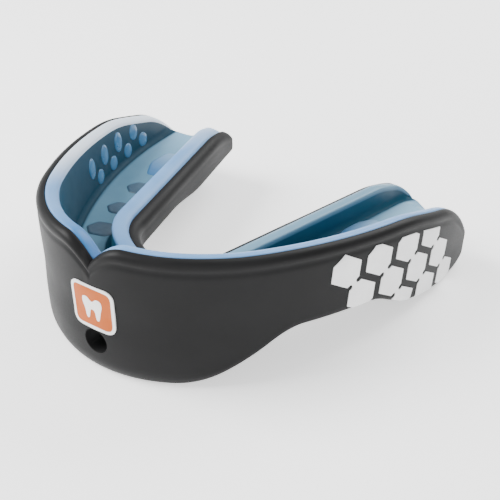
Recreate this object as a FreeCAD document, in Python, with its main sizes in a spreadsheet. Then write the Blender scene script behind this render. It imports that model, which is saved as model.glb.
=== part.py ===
import FreeCAD, Part

import math
import os

import Sketcher
from FreeCAD import Placement, Rotation, Vector

# A boxing mouthguard. A rubber shock frame in the shape of a horseshoe carries a gel
# liner that forms the tooth trough. Bite pads sit in the trough floor and fit nubs on
# its cheek wall. Hexagon chains are let into both cheeks, and a badge into the front.
#
# Frame: +Z up with the guard standing on its front flange and its two rear lobes,
# -Y to the lips, +Y to the throat, and the origin on the ground under the middle.
# The wearer's teeth enter the trough from above.

SIZES = [
    # plan: the cheek-side seam, where gel meets rubber, as three tangent arcs a side
    ("seam_reach", 26.6, "seam ahead of the origin, at the lips"),
    ("front_radius", 19.1, "seam radius around the incisors"),
    ("front_sweep", 38.6, "degrees of that arc"),
    ("canine_radius", 27.6, "seam radius around the canines"),
    ("canine_sweep", 19.8, "degrees of that arc"),
    ("cheek_radius", 72.1, "seam radius along the molars"),
    ("cheek_sweep", 31.2, "degrees of that arc"),
    ("rear_reach", 28.1, "rear lobes behind the origin"),
    # plan: the tongue-side edge of the trough, one arc and then straight
    ("tongue_reach", 17.6, "trough edge ahead of the origin, behind the incisors"),
    ("tongue_radius", 11.2, "radius behind the incisors"),
    ("tongue_sweep", 76.4, "degrees of that arc"),
    # walls, measured square to those lines
    ("cheek_wall", 1.3, "rubber outside the seam"),
    ("cheek_band", 1.9, "gel inside the seam"),
    ("flange_inset", 2.0, "lower flange inside the seam"),
    ("tongue_band", 2.4, "gel behind the trough"),
    ("tongue_wall", 1.7, "rubber behind that gel"),
    # heights
    ("floor_under", 8.0, "underside of the rubber floor"),
    ("gel_under", 8.8, "underside of the gel floor"),
    ("floor_top", 9.4, "trough floor"),
    ("tongue_rim", 13.4, "top of the tongue-side wall"),
    ("front_rim", 20.9, "top of the lip wall"),
    # side outline of the cheek wall, its corners and their rounding
    ("bend_reach", 8.0, "start of the rim's fall behind the origin"),
    ("bend_rim", 16.8, "rim height there"),
    ("drop_reach", 20.5, "start of its steeper fall"),
    ("drop_rim", 13.0, "rim height there"),
    ("lobe_rim", 6.6, "rim height at the rear end"),
    ("bend_round", 40.0, "rounding of the first bend"),
    ("drop_round", 18.0, "rounding of the second bend"),
    ("lobe_round", 3.2, "rounding of the rear lobe"),
    ("lobe_flat_reach", 18.5, "front end of the lobe's flat foot"),
    ("lobe_rise_reach", 8.5, "start of the steeper rise ahead of it"),
    ("lobe_rise", 2.0, "height there"),
    ("waist_rear_reach", 1.8, "rear end of the waist"),
    ("waist_rear", 6.0, "height of the lower edge there"),
    ("waist_front_reach", 12.2, "front end of the waist, ahead of the origin"),
    ("waist_front", 7.2, "height of the lower edge there"),
    ("flange_reach", 22.0, "rear end of the front flange's flat foot"),
    ("waist_round", 5.0, "rounding of the lower corners"),
    # side outline of the tongue wall
    ("tongue_rear", 27.6, "rear end of the tongue wall"),
    ("tongue_drop_reach", 20.5, "start of its rim's fall"),
    ("tongue_drop", 10.0, "rim height at the rear end"),
    ("tongue_foot", 6.5, "lower edge at the rear"),
    ("tongue_foot_reach", 10.5, "front end of that low edge"),
    ("tongue_foot_run", 8.0, "length of the slope up from it"),
    ("tongue_round", 2.4, "rounding of its rear end"),
    ("tongue_heel_round", 1.4, "rounding of its lower rear corner"),
    # lip notch and tether port
    ("notch_floor", 17.6, "bottom of the notch that clears the frenum"),
    ("notch_slope", 42.0, "degrees from level of the notch's sides"),
    ("port_radius", 1.8, "tether port"),
    ("port_height", 5.3, "its axis above the ground"),
    # bite pads
    ("pad_across", 5.6, "pad size across the trough"),
    ("pad_gap", 0.6, "floor left between a pad and the tongue wall"),
    ("pad_along", 3.5, "pad size along the trough"),
    ("pad_first", 10.6, "first pad ahead of the origin"),
    ("pad_pitch", 6.9, "spacing of the pads, front to back"),
    ("rear_pad_along", 7.0, "the longer rear pad"),
    ("pad_depth", 0.4, "depth of the pads in the floor"),
    ("pad_proud", 0.15, "height of the pads above the floor"),
    # nubs
    ("nub_pitch", 5.2, "spacing of the nubs along the wall"),
    ("nub_first", 3.5, "first upper nub ahead of the origin"),
    ("nub_radius", 0.95, "radius of a nub, a round-ended bar"),
    ("nub_height", 3.2, "height of a nub"),
    ("nub_proud", 0.45, "how far a nub stands out of the wall"),
    ("nub_upper", 13.7, "height of the upper row"),
    ("nub_lower", 11.2, "height of the lower row"),
    # hexagon chains
    ("hexagon_radius", 2.75, "corner radius of one hexagon"),
    ("chain_gap", 1.29, "rubber left between the flats of two chains"),
    ("chain_pitch", "=hexagon_radius * sqrt(3) + chain_gap", "spacing of the chains along the cheek"),
    ("chain_tilt", 3.4, "degrees that their row falls to the rear"),
    ("link_gap", 1.14, "rubber left between the flats of two hexagons down a chain"),
    ("link_pitch", "=hexagon_radius * sqrt(3) + link_gap", "spacing of the hexagons down a chain"),
    ("link_slope", 57.5, "degrees that a chain falls to the rear"),
    ("link_width", 1.5, "neck between two hexagons"),
    ("chain_start_reach", 5.0, "first hexagon ahead of the origin"),
    ("chain_start_height", 13.7, "its height"),
    ("inlay_depth", 0.6, "depth of the chains and the badge in the rubber"),
    ("inlay_edge", 0.5, "rubber left below and behind the chains"),
    ("inlay_rim", 1.8, "rubber left above them"),
    # badge
    ("badge_size", 7.0, "badge width and height"),
    ("badge_round", 1.5, "badge corner radius"),
    ("badge_height", 10.9, "badge centre above the ground"),
    ("badge_border", 0.5, "width of the badge's border"),
    ("badge_proud", 0.2, "height of the badge above the rubber"),
    ("tooth_width", 3.2, "width of the tooth emblem"),
    ("tooth_height", 3.8, "height of the tooth emblem"),
    ("tooth_round", 0.2, "rounding of its corners"),
]

PADS = 3  # short pads ahead of the long one
NUBS = 4  # in each row
CHAIN_LINKS = (2, 3, 3, 3)  # hexagons in each chain, from the front
SCREEN = 12.0  # how far a cutting outline runs past the part, so that it cuts cleanly
SKY = 40.0  # height of the tall plan prisms before they are trimmed
OVERRUN = 1.0  # how far the port's cutter starts behind the wall
PAD_SHOULDER = 0.55  # half the length of a pad's long sides, as a share of its half width

doc = FreeCAD.newDocument("mouthguard")

sheet = doc.addObject("Spreadsheet::Sheet", "Size")
for row, (alias, number, note) in enumerate(SIZES, start=1):
    sheet.setAlias("A%d" % row, alias)
    sheet.set("B%d" % row, note)
for row, (alias, number, note) in enumerate(SIZES, start=1):
    sheet.set("A%d" % row, str(number))
doc.recompute()


def size(alias):
    """One driving size as a plain number."""
    return float(sheet.get(alias))


def worth(text):
    """The value of an expression over the sheet's sizes."""
    return float(sheet.evalExpression(text))


# ---- sketches ----------------------------------------------------------------

HORIZONTAL = Rotation()
FACING_SIDE = Rotation(Vector(1, 1, 1), 120)  # sketch X runs along +Y, sketch Y along +Z
FACING_FRONT = Rotation(Vector(1, 0, 0), 90)  # sketch X runs along +X, sketch Y along +Z


def new_sketch(name, rotation):
    """An empty sketch through the origin."""
    sketch = doc.addObject("Sketcher::SketchObject", name)
    sketch.Placement = Placement(Vector(), rotation)
    return sketch


def place_rules(geometry, end, x_text, y_text):
    """Two rules that hold one end of an element at expressions of the sizes."""
    return [
        (Sketcher.Constraint("DistanceX", -1, 1, geometry, end, worth(x_text)), x_text),
        (Sketcher.Constraint("DistanceY", -1, 1, geometry, end, worth(y_text)), y_text),
    ]


def radius_rule(geometry, text):
    """A rule that holds an arc's radius at an expression."""
    return (Sketcher.Constraint("Radius", geometry, worth(text)), text)


def meet_rule(first, first_end, second, second_end):
    """A rule that two ends coincide."""
    return (Sketcher.Constraint("Coincident", first, first_end, second, second_end), None)


def apply_rules(sketch, rules):
    """Add the rules in one go, then bind their values to the sheet."""
    places = sketch.addConstraint([rule for rule, text in rules])
    for place, (rule, text) in zip(places, rules):
        if text is not None:
            sketch.setExpression("Constraints[%d]" % place, text)


def arch_sketch(name, apex, arcs):
    """A horseshoe outline, closed behind the part: tangent arcs that start square to
    the centre line at the apex and turn by each sweep, then a straight tail."""
    sketch = new_sketch(name, HORIZONTAL)
    rules = []
    x_text, y_text, heading = "0", "-(%s)" % apex, "0"
    previous = None
    for radius, sweep in arcs:
        turned = "(%s + %s)" % (heading, sweep)
        next_x = "%s + %s * (sin(%s) - sin(%s))" % (x_text, radius, turned, heading)
        next_y = "%s + %s * (cos(%s) - cos(%s))" % (y_text, radius, heading, turned)
        start = math.radians(worth(heading) - 90.0)
        end = math.radians(worth(turned) - 90.0)
        centre_x = worth(x_text) - worth(radius) * math.cos(start)
        centre_y = worth(y_text) - worth(radius) * math.sin(start)
        pair = []
        for side, low, high in ((1, start, end), (-1, math.pi - end, math.pi - start)):
            circle = Part.Circle(Vector(side * centre_x, centre_y, 0), Vector(0, 0, 1), worth(radius))
            arc = sketch.addGeometry(Part.ArcOfCircle(circle, low, high), False)
            inner, outer = (1, 2) if side > 0 else (2, 1)
            pair.append((arc, inner, outer))
            rules.append(radius_rule(arc, radius))
            rules += place_rules(arc, outer, next_x if side > 0 else "-(%s)" % next_x, next_y)
        if previous is None:
            rules += place_rules(pair[0][0], pair[0][1], x_text, y_text)
            rules.append(meet_rule(pair[0][0], pair[0][1], pair[1][0], pair[1][1]))
        else:
            for (last, last_inner, last_outer), (arc, inner, outer) in zip(previous, pair):
                rules.append(meet_rule(last, last_outer, arc, inner))
        previous, x_text, y_text, heading = pair, next_x, next_y, turned
    tail_y = "Size.rear_reach + %g" % SCREEN
    tail_x = "%s + (%s - (%s)) / tan(%s)" % (x_text, tail_y, y_text, heading)
    tails = []
    for side, (last, inner, outer) in zip((1, -1), previous):
        first = Vector(side * worth(x_text), worth(y_text), 0)
        second = Vector(side * worth(tail_x), worth(tail_y), 0)
        line = sketch.addGeometry(Part.LineSegment(first, second), False)
        rules.append(meet_rule(last, outer, line, 1))
        rules += place_rules(line, 2, tail_x if side > 0 else "-(%s)" % tail_x, tail_y)
        tails.append((line, second))
    back = sketch.addGeometry(Part.LineSegment(tails[0][1], tails[1][1]), False)
    rules.append(meet_rule(tails[0][0], 2, back, 1))
    rules.append(meet_rule(tails[1][0], 2, back, 2))
    apply_rules(sketch, rules)
    return sketch


def outline_sketch(name, rotation, corners):
    """A closed outline through corners listed anticlockwise. A corner is two
    expressions and the rounding of that corner, or None where it stays sharp."""
    sketch = new_sketch(name, rotation)
    count = len(corners)
    points = [Vector(worth(x), worth(y), 0) for x, y, rounding in corners]
    enters, leaves, arcs = [], [], []
    for here, (x_text, y_text, rounding) in enumerate(corners):
        corner = points[here]
        arriving = (corner - points[here - 1]).normalize()
        leaving = (points[(here + 1) % count] - corner).normalize()
        if rounding is None:
            enters.append(corner)
            leaves.append(corner)
            arcs.append(None)
            continue
        turn = math.atan2(arriving.x * leaving.y - arriving.y * leaving.x, arriving.dot(leaving))
        radius = worth(rounding)
        setback = radius * math.tan(abs(turn) / 2)
        enters.append(corner - arriving * setback)
        leaves.append(corner + leaving * setback)
        inward = Vector(-arriving.y, arriving.x, 0) * math.copysign(radius, turn)
        centre = enters[-1] + inward
        first, second = (enters[-1], leaves[-1]) if turn > 0 else (leaves[-1], enters[-1])
        low = math.atan2(first.y - centre.y, first.x - centre.x)
        high = math.atan2(second.y - centre.y, second.x - centre.x)
        circle = Part.Circle(centre, Vector(0, 0, 1), radius)
        arc = sketch.addGeometry(Part.ArcOfCircle(circle, low, high), False)
        arcs.append((arc, 1, 2) if turn > 0 else (arc, 2, 1))
    lines = [
        sketch.addGeometry(Part.LineSegment(leaves[here], enters[(here + 1) % count]), False)
        for here in range(count)
    ]
    rules = []
    for here, (x_text, y_text, rounding) in enumerate(corners):
        before, after = lines[here - 1], lines[here]
        if rounding is None:
            rules.append(meet_rule(before, 2, after, 1))
            rules += place_rules(after, 1, x_text, y_text)
            continue
        arc, arc_enter, arc_leave = arcs[here]
        mark = sketch.addGeometry(Part.Point(points[here]), True)
        rules += place_rules(mark, 1, x_text, y_text)
        rules.append((Sketcher.Constraint("PointOnObject", mark, 1, before), None))
        rules.append((Sketcher.Constraint("PointOnObject", mark, 1, after), None))
        rules.append((Sketcher.Constraint("Tangent", before, 2, arc, arc_enter), None))
        rules.append((Sketcher.Constraint("Tangent", arc, arc_leave, after, 1), None))
        rules.append(radius_rule(arc, rounding))
    apply_rules(sketch, rules)
    return sketch


# ---- solids ------------------------------------------------------------------


def prism(name, outline, direction, low, high):
    """The solid that an outline sweeps along a direction, between two distances."""
    solid = doc.addObject("Part::Extrusion", name)
    solid.Base = outline
    solid.DirMode = "Custom"
    solid.Dir = direction
    solid.Solid = True
    solid.setExpression("LengthFwd", high)
    solid.setExpression("LengthRev", "-(%s)" % low)
    return solid


def upright(name, outline, low="-%g" % SCREEN, high="%g" % SKY):
    """A prism that stands on a plan outline."""
    return prism(name, outline, Vector(0, 0, 1), low, high)


def crosswise(name, outline):
    """A prism right across the part from an outline seen from its side."""
    return prism(name, outline, Vector(1, 0, 0), "-%g" % SKY, "%g" % SKY)


def cut(name, base, *tools):
    """The base less every tool."""
    for count, tool in enumerate(tools, start=1):
        last = count == len(tools)
        step = doc.addObject("Part::Cut", name if last else "%s_step_%d" % (name, count))
        step.Base = base
        step.Tool = tool
        base = step
    base.Refine = True
    return base


def overlap(name, *shapes):
    """What all the shapes share."""
    common = doc.addObject("Part::MultiCommon", name)
    common.Shapes = list(shapes)
    return common


def fuse(name, *shapes):
    """One solid from several."""
    whole = doc.addObject("Part::MultiFuse", name)
    whole.Shapes = list(shapes)
    whole.Refine = True
    return whole


def feature(name, shape):
    """A sub-part whose repeated solids are laid along a line of the arch."""
    holder = doc.addObject("Part::Feature", name)
    holder.Shape = shape
    return holder


def mirrored(name, source):
    """The same piece on the wearer's other side."""
    twin = doc.addObject("Part::Mirroring", name)
    twin.Source = source
    twin.Base = Vector(0, 0, 0)
    twin.Normal = Vector(1, 0, 0)
    return twin


# ---- plan lines --------------------------------------------------------------


def seam_parallel(name, distance):
    """The cheek-side seam, or a line at a distance outside it."""
    arcs = [
        ("(Size.%s_radius + %s)" % (part, distance), "Size.%s_sweep" % part)
        for part in ("front", "canine", "cheek")
    ]
    return arch_sketch(name, "Size.seam_reach + %s" % distance, arcs)


def trough_parallel(name, distance):
    """The tongue-side edge of the trough, or a line at a distance outside it."""
    arcs = [("(Size.tongue_radius + %s)" % distance, "Size.tongue_sweep")]
    return arch_sketch(name, "Size.tongue_reach + %s" % distance, arcs)


seam_line = seam_parallel("seam_line", "0")
outer_line = seam_parallel("outer_line", "Size.cheek_wall")
band_line = seam_parallel("band_line", "-Size.cheek_band")
flange_line = seam_parallel("flange_line", "-Size.flange_inset")
inlay_line = seam_parallel("inlay_line", "(Size.cheek_wall - Size.inlay_depth)")
badge_line = seam_parallel("badge_line", "(Size.cheek_wall + Size.badge_proud)")
nub_line = seam_parallel("nub_line", "(Size.nub_radius - Size.nub_proud - Size.cheek_band)")

trough_edge = trough_parallel("trough_edge", "0")
tongue_seam = trough_parallel("tongue_seam", "-Size.tongue_band")
palate_line = trough_parallel("palate_line", "-(Size.tongue_band + Size.tongue_wall)")
pad_line = trough_parallel("pad_line", "(Size.pad_across / 2 + Size.pad_gap)")

# ---- side outlines -----------------------------------------------------------

LIPS = "(Size.seam_reach + Size.cheek_wall)"
AHEAD = "-(%s + %g)" % (LIPS, SCREEN)
RIM_SLOPE = "(Size.front_rim - Size.bend_rim) / (%s + Size.bend_reach)" % LIPS

cheek_outline = outline_sketch(
    "cheek_outline",
    FACING_SIDE,
    [
        (AHEAD, "0", None),
        ("-Size.flange_reach", "0", "Size.waist_round"),
        ("-Size.waist_front_reach", "Size.waist_front", "Size.waist_round"),
        ("Size.waist_rear_reach", "Size.waist_rear", "Size.waist_round"),
        ("Size.lobe_rise_reach", "Size.lobe_rise", "2 * Size.waist_round"),
        ("Size.lobe_flat_reach", "0", "2 * Size.waist_round"),
        ("Size.rear_reach", "0", "Size.lobe_round"),
        ("Size.rear_reach", "Size.lobe_rim", "Size.lobe_round"),
        ("Size.drop_reach", "Size.drop_rim", "Size.drop_round"),
        ("Size.bend_reach", "Size.bend_rim", "Size.bend_round"),
        (AHEAD, "Size.front_rim + %g * %s" % (SCREEN, RIM_SLOPE), None),
    ],
)
tongue_outline = outline_sketch(
    "tongue_outline",
    FACING_SIDE,
    [
        (AHEAD, "Size.floor_under", None),
        ("Size.tongue_foot_reach - Size.tongue_foot_run", "Size.floor_under", "Size.waist_round"),
        ("Size.tongue_foot_reach", "Size.tongue_foot", "Size.waist_round"),
        ("Size.tongue_rear", "Size.tongue_foot", "Size.tongue_heel_round"),
        ("Size.tongue_rear", "Size.tongue_drop", "Size.tongue_round"),
        ("Size.tongue_drop_reach", "Size.tongue_rim", "2 * Size.tongue_round"),
        (AHEAD, "Size.tongue_rim", None),
    ],
)
cheek_profile = crosswise("cheek_profile", cheek_outline)
tongue_profile = crosswise("tongue_profile", tongue_outline)

# ---- lip notch and tether port -----------------------------------------------

NOTCH_TOP = "(Size.front_rim + %g)" % SCREEN
NOTCH_HALF = "(%s - Size.notch_floor) / tan(Size.notch_slope)" % NOTCH_TOP

notch_outline = outline_sketch(
    "notch_outline",
    FACING_FRONT,
    [
        ("0", "Size.notch_floor", None),
        (NOTCH_HALF, NOTCH_TOP, None),
        ("-(%s)" % NOTCH_HALF, NOTCH_TOP, None),
    ],
)
LIP_SIDE = "Size.seam_reach + %g" % SCREEN
notch = prism("notch", notch_outline, Vector(0, -1, 0), "Size.tongue_reach", LIP_SIDE)

port = doc.addObject("Part::Cylinder", "tether_port")
port.setExpression("Radius", "Size.port_radius")
port.setExpression("Height", "%g + Size.cheek_wall + Size.flange_inset" % SCREEN)
port.Placement = Placement(Vector(), Rotation(Vector(1, 0, 0), 90))
port.setExpression("Placement.Base.y", "-Size.seam_reach + Size.flange_inset + %g" % OVERRUN)
port.setExpression("Placement.Base.z", "Size.port_height")

# ---- frame and liner blanks --------------------------------------------------

inside_edge = upright("inside_edge", trough_edge)
cheek_blank = cut("cheek_blank", upright("outside", outer_line), inside_edge)
tongue_blank = cut("tongue_blank", inside_edge, upright("palate", palate_line))
cheek_side = overlap("cheek_side", cheek_blank, cheek_profile)
tongue_side = overlap("tongue_side", tongue_blank, tongue_profile)
horseshoe = fuse("horseshoe", cheek_side, tongue_side)

under_floor = cut(
    "under_floor",
    upright("under_arch", flange_line, high="Size.floor_under"),
    inside_edge,
)
gel_space = cut(
    "gel_space",
    upright("gel_arch", seam_line, low="Size.gel_under"),
    upright("behind_gel", tongue_seam),
)
trough = cut(
    "trough",
    upright("trough_arch", band_line, low="Size.floor_top"),
    inside_edge,
)

doc.recompute()

# ---- pieces laid along the arch ----------------------------------------------


def station(line, reach):
    """Where a plan line crosses a given distance behind the origin on the +X side,
    and the direction it runs there, towards the rear."""
    ray = Part.makeLine(Vector(0, reach, 0), Vector(SKY, reach, 0))
    distance, pairs, details = line.Shape.distToShape(ray)
    kind, index, parameter = details[0][:3]
    edge = line.Shape.Edges[index]
    tangent = edge.tangentAt(parameter)
    if tangent.y < 0:
        tangent = tangent * -1
    return pairs[0][0], tangent


def bite_pad(centre, along, length):
    """A flat six-sided pad, pointed across the trough, sunk in its floor."""
    across = Vector(along.y, -along.x, 0)
    half_width = size("pad_across") / 2
    low, high = -PAD_SHOULDER, PAD_SHOULDER
    corners = []
    for side, reach in ((1, 0), (high, 1), (low, 1), (-1, 0), (low, -1), (high, -1)):
        corners.append(centre + across * (side * half_width) + along * (reach * length / 2))
    face = Part.Face(Part.makePolygon(corners + corners[:1]))
    face.translate(Vector(0, 0, size("floor_top") - size("pad_depth")))
    return face.extrude(Vector(0, 0, size("pad_depth") + size("pad_proud")))


def fit_nub(centre, height):
    """A round-ended upright bar."""
    radius = size("nub_radius")
    straight = size("nub_height") - 2 * radius
    foot = Vector(centre.x, centre.y, height - straight / 2)
    bar = Part.makeCylinder(radius, straight, foot)
    ends = [Part.makeSphere(radius, foot), Part.makeSphere(radius, foot + Vector(0, 0, straight))]
    return bar.multiFuse(ends).removeSplitter()


pads = []
for count in range(PADS):
    centre, along = station(pad_line, count * size("pad_pitch") - size("pad_first"))
    pads.append(bite_pad(centre, along, size("pad_along")))
rear_pad_reach = (PADS - 0.5) * size("pad_pitch") - size("pad_first") + size("rear_pad_along") / 2
centre, along = station(pad_line, rear_pad_reach)
pads.append(bite_pad(centre, along, size("rear_pad_along")))
pads_right = feature("bite_pads_right", Part.makeCompound(pads))

nubs = []
for count in range(NUBS):
    upper, along = station(nub_line, count * size("nub_pitch") - size("nub_first"))
    lower, along = station(nub_line, (count + 0.5) * size("nub_pitch") - size("nub_first"))
    nubs.append(fit_nub(upper, size("nub_upper")))
    nubs.append(fit_nub(lower, size("nub_lower")))
nubs_right = feature("wall_nubs_right", Part.makeCompound(nubs))

# ---- hexagon chains ----------------------------------------------------------


def hexagon(y, z):
    """A hexagon seen from the side, a corner at its top, as a bar across the cheek."""
    radius = size("hexagon_radius")
    corners = []
    for step in range(7):
        angle = math.radians(90 + 60 * step)
        corners.append(Vector(0, y + radius * math.cos(angle), z + radius * math.sin(angle)))
    return Part.Face(Part.makePolygon(corners)).extrude(Vector(SKY, 0, 0))


def neck(y, z, next_y, next_z):
    """The bar that joins two hexagons of a chain."""
    half = Vector(0, z - next_z, next_y - y).normalize() * (size("link_width") / 2)
    first, second = Vector(0, y, z), Vector(0, next_y, next_z)
    corners = [first - half, first + half, second + half, second - half, first - half]
    return Part.Face(Part.makePolygon(corners)).extrude(Vector(SKY, 0, 0))


def chain(start_y, start_z, links):
    """One chain of hexagons that falls to the rear, joined at their necks."""
    slope = math.radians(size("link_slope"))
    step_y = size("link_pitch") * math.cos(slope)
    step_z = -size("link_pitch") * math.sin(slope)
    places = [(start_y + step_y * link, start_z + step_z * link) for link in range(links)]
    bars = [hexagon(y, z) for y, z in places]
    bars += [neck(*first, *second) for first, second in zip(places, places[1:])]
    return bars[0].multiFuse(bars[1:]).removeSplitter()


def shifted_profile(name, axis, distance):
    """The cheek wall's profile moved along one axis."""
    profile = crosswise(name, cheek_outline)
    profile.setExpression("Placement.Base.%s" % axis, distance)
    return profile


def build_chains(cheek_layer, window):
    """The chains of the +X cheek, let into its outer layer within a window."""
    tilt = math.radians(size("chain_tilt"))
    bars = []
    for count, links in enumerate(CHAIN_LINKS):
        along = count * size("chain_pitch")
        start_y = along * math.cos(tilt) - size("chain_start_reach")
        start_z = size("chain_start_height") - along * math.sin(tilt)
        bar = feature("chain_bar_%d" % (count + 1), chain(start_y, start_z, links))
        bars.append(overlap("side_inlay_right_%d" % (count + 1), bar, cheek_layer, window))
    return bars


outside = doc.getObject("outside")
cheek_layer = cut("cheek_layer", outside, upright("inlay_arch", inlay_line))
window = overlap(
    "chain_window",
    shifted_profile("window_foot", "z", "Size.inlay_edge"),
    shifted_profile("window_rear", "y", "-Size.inlay_edge"),
    shifted_profile("window_rim", "z", "-Size.inlay_rim"),
)
chains_right = build_chains(cheek_layer, window)
chains_left = [
    mirrored("side_inlay_left_%d" % (count + 1), source)
    for count, source in enumerate(chains_right)
]

# ---- badge -------------------------------------------------------------------


def square_outline(name, half, rounding):
    """A square with rounded corners, centred on the badge."""
    corners = [
        ("%d * (%s)" % (x_side, half), "Size.badge_height + %d * (%s)" % (z_side, half), rounding)
        for x_side, z_side in ((-1, -1), (1, -1), (1, 1), (-1, 1))
    ]
    return outline_sketch(name, FACING_FRONT, corners)


# Half of the tooth's outline, from its root notch to its biting edge, as shares of the
# emblem's half width and half height.
TOOTH = [(0.0, -0.25), (0.28, -1.0), (0.62, -1.0), (0.85, 0.1), (1.0, 0.75), (0.6, 1.0)]
TOOTH_DIP = (0.0, 0.72)


def tooth_outline():
    """A plain two-rooted tooth."""
    right = TOOTH[1:]
    shares = [TOOTH[0]] + right + [TOOTH_DIP] + [(-x, z) for x, z in reversed(right)]
    corners = []
    for x_share, z_share in shares:
        x_text = "%g * Size.tooth_width / 2" % x_share
        z_text = "Size.badge_height + %g * Size.tooth_height / 2" % z_share
        corners.append((x_text, z_text, "Size.tooth_round"))
    return outline_sketch("tooth_outline", FACING_FRONT, corners)


def frontwise(name, outline):
    """A prism through the lip wall from an outline seen from the front."""
    return prism(name, outline, Vector(0, -1, 0), "Size.tongue_reach", LIP_SIDE)


badge_layer = cut("badge_layer", upright("badge_arch", badge_line), doc.getObject("inlay_arch"))
badge_outline = square_outline("badge_outline", "Size.badge_size / 2", "Size.badge_round")
plate_outline = square_outline(
    "plate_outline",
    "Size.badge_size / 2 - Size.badge_border",
    "Size.badge_round - Size.badge_border",
)
badge_bar = frontwise("badge_bar", badge_outline)
plate_bar = frontwise("plate_bar", plate_outline)
tooth_bar = frontwise("tooth_bar", tooth_outline())
badge_space = overlap("badge_space", badge_bar, badge_layer)
badge_border = cut("badge_border", badge_space, plate_bar)
badge_plate = cut("badge_plate", overlap("plate_space", plate_bar, badge_layer), tooth_bar)
badge_emblem = overlap("badge_emblem", tooth_bar, badge_layer)

# ---- frame and liner ---------------------------------------------------------

pads_left = mirrored("bite_pads_left", pads_right)
nubs_left = mirrored("wall_nubs_left", nubs_right)

shock_frame = cut(
    "shock_frame",
    horseshoe,
    under_floor,
    gel_space,
    notch,
    port,
    badge_space,
    *chains_right,
    *chains_left,
)
gel_liner = cut(
    "gel_liner",
    overlap("gel_blank", horseshoe, gel_space),
    trough,
    notch,
    pads_right,
    pads_left,
    nubs_right,
    nubs_left,
)

SUB_PARTS = [
    shock_frame,
    gel_liner,
    pads_left,
    pads_right,
    nubs_left,
    nubs_right,
    badge_plate,
    badge_border,
    badge_emblem,
    *chains_left,
    *chains_right,
]

doc.recompute()

for item in doc.Objects:
    if "Invalid" in item.State or "Error" in item.State:
        raise RuntimeError("%s did not build: %s" % (item.Name, item.State))

os.makedirs("parts", exist_ok=True)
for item in SUB_PARTS:
    item.Label = item.Name
    if item.Shape.isNull() or not item.Shape.isValid():
        raise RuntimeError("%s has no sound shape" % item.Label)
    item.Shape.exportStep("parts/%s.step" % item.Label)
    box = item.Shape.BoundBox
    print(
        "%-22s %2d solids %8.1f mm3  x %6.2f..%6.2f  y %6.2f..%6.2f  z %5.2f..%5.2f"
        % (item.Label, len(item.Shape.Solids), item.Shape.Volume,
           box.XMin, box.XMax, box.YMin, box.YMax, box.ZMin, box.ZMax)
    )
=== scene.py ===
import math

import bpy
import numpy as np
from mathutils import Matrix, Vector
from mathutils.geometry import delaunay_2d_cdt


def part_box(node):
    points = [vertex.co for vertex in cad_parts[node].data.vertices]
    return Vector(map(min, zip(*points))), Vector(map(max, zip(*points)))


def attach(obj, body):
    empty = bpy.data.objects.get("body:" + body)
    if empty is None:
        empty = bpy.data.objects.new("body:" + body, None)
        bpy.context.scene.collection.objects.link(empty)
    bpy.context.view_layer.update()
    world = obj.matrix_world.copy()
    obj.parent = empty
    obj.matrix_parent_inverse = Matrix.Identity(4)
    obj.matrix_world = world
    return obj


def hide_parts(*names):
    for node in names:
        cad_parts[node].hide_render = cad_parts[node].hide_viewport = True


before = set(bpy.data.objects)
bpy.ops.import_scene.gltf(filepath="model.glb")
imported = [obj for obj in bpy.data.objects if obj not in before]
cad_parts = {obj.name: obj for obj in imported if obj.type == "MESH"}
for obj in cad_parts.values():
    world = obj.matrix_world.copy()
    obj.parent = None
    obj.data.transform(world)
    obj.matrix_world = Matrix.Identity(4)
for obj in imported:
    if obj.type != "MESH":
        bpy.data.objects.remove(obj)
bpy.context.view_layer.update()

# %% [markdown]
# # A boxing mouthguard
#
# A charcoal rubber horseshoe, the shock frame, carries a trough of ice-blue gel that
# the upper teeth bite into. White hexagon chains are let into both cheeks, and a small
# badge sits on the lip side above the tether port.
#
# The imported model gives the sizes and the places. Each step below makes one piece as a
# surface over that model, in the same frame: +Z up, -Y towards the lips and X = 0 the
# mirror plane. Lengths are written in millimetres and scaled once, when the points go
# into a mesh.

MM = 0.001
scene = bpy.context.scene


# %% [markdown]
# ## From an array of points to a mesh
#
# Nearly every piece is a grid: one row of points for each station along the arch, and
# in each row the same number of points round a section. Neighbouring points make quads.
# A grid could be typed in as faces, but working out all of them as one array keeps the
# code short, and it stays fast for tens of thousands of faces.

# %% Grid surfaces
def grid_faces(rows, columns, wrap):
    """Quads of a grid: point (r, c), its right neighbour, and the two above them.
    With wrap the last column joins the first."""
    across = columns if wrap else columns - 1
    r, c = np.meshgrid(np.arange(rows - 1), np.arange(across), indexing="ij")
    right = (c + 1) % columns
    row, above = r * columns, (r + 1) * columns
    quads = np.stack([row + c, row + right, above + right, above + c], -1)
    return quads.reshape(-1, 4).tolist()


def signed_volume(points, faces):
    """The volume the faces enclose: a sixth of the triple products summed over a fan on
    each face. It is positive when the faces look outwards."""
    total = 0.0
    for size in {len(face) for face in faces}:
        group = np.array([face for face in faces if len(face) == size])
        for corner in range(1, size - 1):
            a, b, c = points[group[:, 0]], points[group[:, corner]], points[group[:, corner + 1]]
            total += np.einsum("ij,ij->", a, np.cross(b, c))
    return total / 6.0


def make_piece(name, points, faces, replaced=(), crease=40.0):
    """A finished object from points in millimetres. Faces turn outwards, and edges
    sharper than the crease angle stay crisp."""
    points = np.asarray(points, float).reshape(-1, 3)
    if signed_volume(points, faces) < 0:
        faces = [face[::-1] for face in faces]
    mesh = bpy.data.meshes.new(name)
    mesh.from_pydata((points * MM).tolist(), [], faces)
    mesh.validate()
    mesh.shade_smooth()
    mesh.set_sharp_from_angle(angle=math.radians(crease))
    piece = bpy.data.objects.new(name, mesh)
    scene.collection.objects.link(piece)
    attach(piece, "root")
    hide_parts(*replaced)
    print(f"{name}: {len(mesh.vertices)} points, {len(mesh.polygons)} faces")
    return piece


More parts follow.
